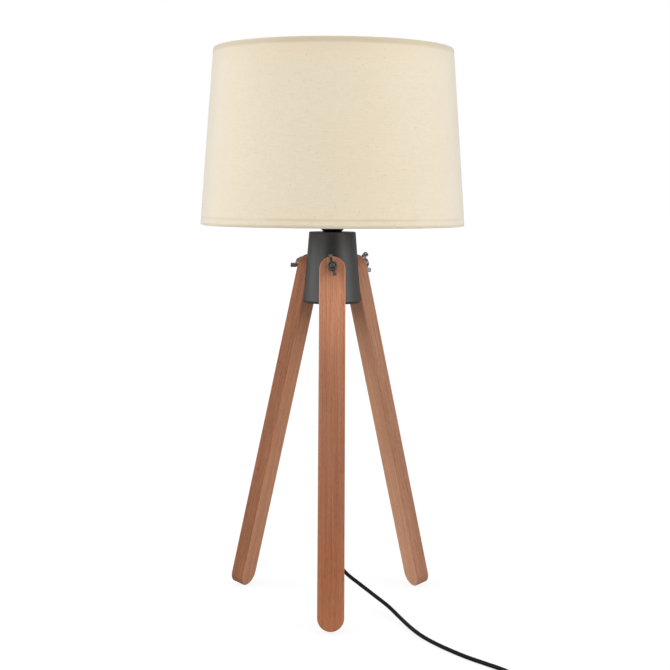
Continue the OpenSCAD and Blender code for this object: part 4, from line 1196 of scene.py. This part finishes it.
class LAMP_OT_bulb(bpy.types.Operator):
    """Make the bulb's opal glass and its rolled cap"""

    bl_idname = "lamp.bulb"
    bl_label = "Bulb"

    glass_r = 0.030
    neck_r = 0.014
    wall = 0.0008
    cap_r = 0.0131

    def execute(self, context):
        opal = plain(
            "opal_glass", (0.86, 0.86, 0.84), 0.14, grain=300.0, relief=0.02, spread=0.03,
            Coat_Weight=0.5, Coat_Roughness=0.05)
        pressed = plain("pressed_aluminium", (0.72, 0.72, 0.73), 0.28, metallic=1.0, grain=1300.0)
        self.add_glass(opal)
        self.add_cap(pressed)
        self.add_contact(pressed)
        return {"FINISHED"}

    def glass_line(self, inset):
        """Half of the glass from its foot, over the neck and round the ball to its top."""
        low, high = levels("bulb_glass")
        ball, neck = self.glass_r - inset, self.neck_r - inset
        centre = high - self.glass_r
        neck_top = low + 0.006
        reach = math.hypot(neck, centre - neck_top)
        touch = math.acos(ball / reach) - math.pi / 2 + math.atan2(neck, centre - neck_top)
        line = [
            (self.cap_r - inset, low + inset), (neck, low + 0.002 + inset, 0.001),
            (neck, neck_top, 0.008), (ball * math.cos(touch), centre + ball * math.sin(touch))]
        line = eased(line, 0.001)
        steps = 40
        for i in range(1, steps + 1):
            angle = touch + (math.pi / 2 - touch) * i / steps
            line.append((ball * math.cos(angle), centre + ball * math.sin(angle)))
        line[-1] = (0.0, centre + ball)
        return line

    def add_glass(self, opal):
        foot = levels("bulb_glass")[0]
        glass, hollow = (
            turned(name, [(0.0, foot + inset), *self.glass_line(inset)])
            for name, inset in (("opal_bulb", 0.0), ("hollow", self.wall)))
        combine(glass, hollow, "DIFFERENCE")
        finish_piece(glass, "bulb_glass", opal, "bulb_glass", body="bulb")

    def add_cap(self, pressed):
        low, high = levels("bulb_cap")
        crest, root = self.cap_r, self.cap_r - 0.0007
        band = rolled_thread(
            "rolled_cap", (crest + root) / 2, (crest - root) / 2, low + 0.0045,
            high - 0.0035, 72)
        with editing(band):
            bpy.ops.mesh.fill_holes(sides=0)
            turn_outwards()
        waist, rim = root - 0.0002, crest - 0.0006
        foot = turned("foot", eased([
            (0.0, low), (0.0045, low, 0.0003), (crest - 0.0022, low + 0.0028, 0.0008),
            (waist, low + 0.0042, 0.001), (waist, high - 0.003, 0.001),
            (crest, high - 0.0022, 0.0006), (crest, high, 0.0002), (rim, high),
            (rim, low + 0.0046), (0.0, low + 0.0046)], 0.0004), 72)
        core_r = crest - 0.0012
        core = turned("core", [
            (0, low + 0.0042), (core_r, low + 0.0042), (core_r, high - 0.001),
            (0, high - 0.001)], 72)
        combine(band, core, "DIFFERENCE")
        combine(foot, band, "UNION")
        foot.name = foot.data.name = "screw_cap"
        finish_piece(foot, "bulb_metal", pressed, "bulb_cap", body="bulb", smooth=35.0)

    def add_contact(self, pressed):
        low, high = levels("bulb_contact")
        contact = turned("domed_contact", eased([
            (0.0, low), (0.0018, low + 0.00005, 0.0008), (0.0036, low + 0.0007, 0.0008),
            (0.0043, high, 0), (0.0, high)], 0.0003), 48)
        finish_piece(contact, "bulb_metal", pressed, "bulb_contact", body="bulb")


# ---------------------------------------------------------------- switch and plug

class LAMP_OT_switch(bpy.types.Operator):
    """Make the moulded housing of the in-line switch, its rocker and screws"""

    bl_idname = "lamp.switch"
    bl_label = "Switch"

    def execute(self, context):
        moulded = plain("switch_moulding", (0.014, 0.014, 0.015), 0.40)
        for node, width, body, segments in (
                ("switch_base", 0.0003, "stand", 2), ("switch_cover", 0.0007, "stand", 3),
                ("switch_rocker", 0.0004, "switch_rocker", 3)):
            chamfered(node, "moulded_" + node, width, "moulded_black", moulded, body, segments)
        zinc = plain("screw_zinc", (0.50, 0.49, 0.47), 0.34, metallic=1.0, grain=1500.0)
        chamfered("switch_screws", "slotted_screws", 0.0002, "zinc_steel", zinc)
        return {"FINISHED"}


class LAMP_OT_plug(bpy.types.Operator):
    """Make the moulded plug, its pins and the strap round the spare cord"""

    bl_idname = "lamp.plug"
    bl_label = "Plug"

    def execute(self, context):
        moulded = plain("plug_moulding", (0.014, 0.014, 0.015), 0.42)
        body = cast("plug_body", "moulded_plug", 0.00042, 6)
        finish_piece(body, "moulded_black", moulded, "plug_body", smooth=50.0)
        nickel = plain("nickel_plate", (0.66, 0.63, 0.57), 0.24, metallic=1.0, grain=1600.0)
        chamfered("plug_pins", "turned_pins", 0.0003, "pin_metal", nickel)
        strap = plain("strap_cloth", (0.018, 0.018, 0.019), 0.85, grain=2600.0, relief=0.5)
        chamfered("cord_tie", "woven_strap", 0.0001, "cord_black", strap)
        return {"FINISHED"}


# ---------------------------------------------------------------- add-on

class LAMP_PT_panel(bpy.types.Panel):
    """Lists the lamp's pieces and their settings"""

    bl_label = "Tripod Table Lamp"
    bl_idname = "LAMP_PT_panel"
    bl_space_type = "VIEW_3D"
    bl_region_type = "UI"
    bl_category = "Lamp"

    def draw(self, context):
        for operator in OPERATORS:
            self.layout.operator(operator.bl_idname)
        for name, group in GROUPS:
            box = self.layout.box()
            box.label(text=group.__doc__)
            for key in group.__annotations__:
                box.prop(getattr(context.scene, name), key)


OPERATORS = (
    LAMP_OT_stage, LAMP_OT_switch, LAMP_OT_plug, LAMP_OT_cord, LAMP_OT_shade,
    LAMP_OT_legs, LAMP_OT_hub, LAMP_OT_fastenings, LAMP_OT_holder, LAMP_OT_bulb,
)


def register():
    for name, group in GROUPS:
        bpy.utils.register_class(group)
        setattr(bpy.types.Scene, name, bpy.props.PointerProperty(type=group))
    for kind in (*OPERATORS, LAMP_PT_panel):
        bpy.utils.register_class(kind)


def unregister():
    for kind in reversed((*OPERATORS, LAMP_PT_panel)):
        bpy.utils.unregister_class(kind)
    for name, group in reversed(GROUPS):
        delattr(bpy.types.Scene, name)
        bpy.utils.unregister_class(group)


def main():
    register()
    for operator in OPERATORS:
        area, name = operator.bl_idname.split(".")
        getattr(getattr(bpy.ops, area), name)()


if __name__ == "__main__":
    main()
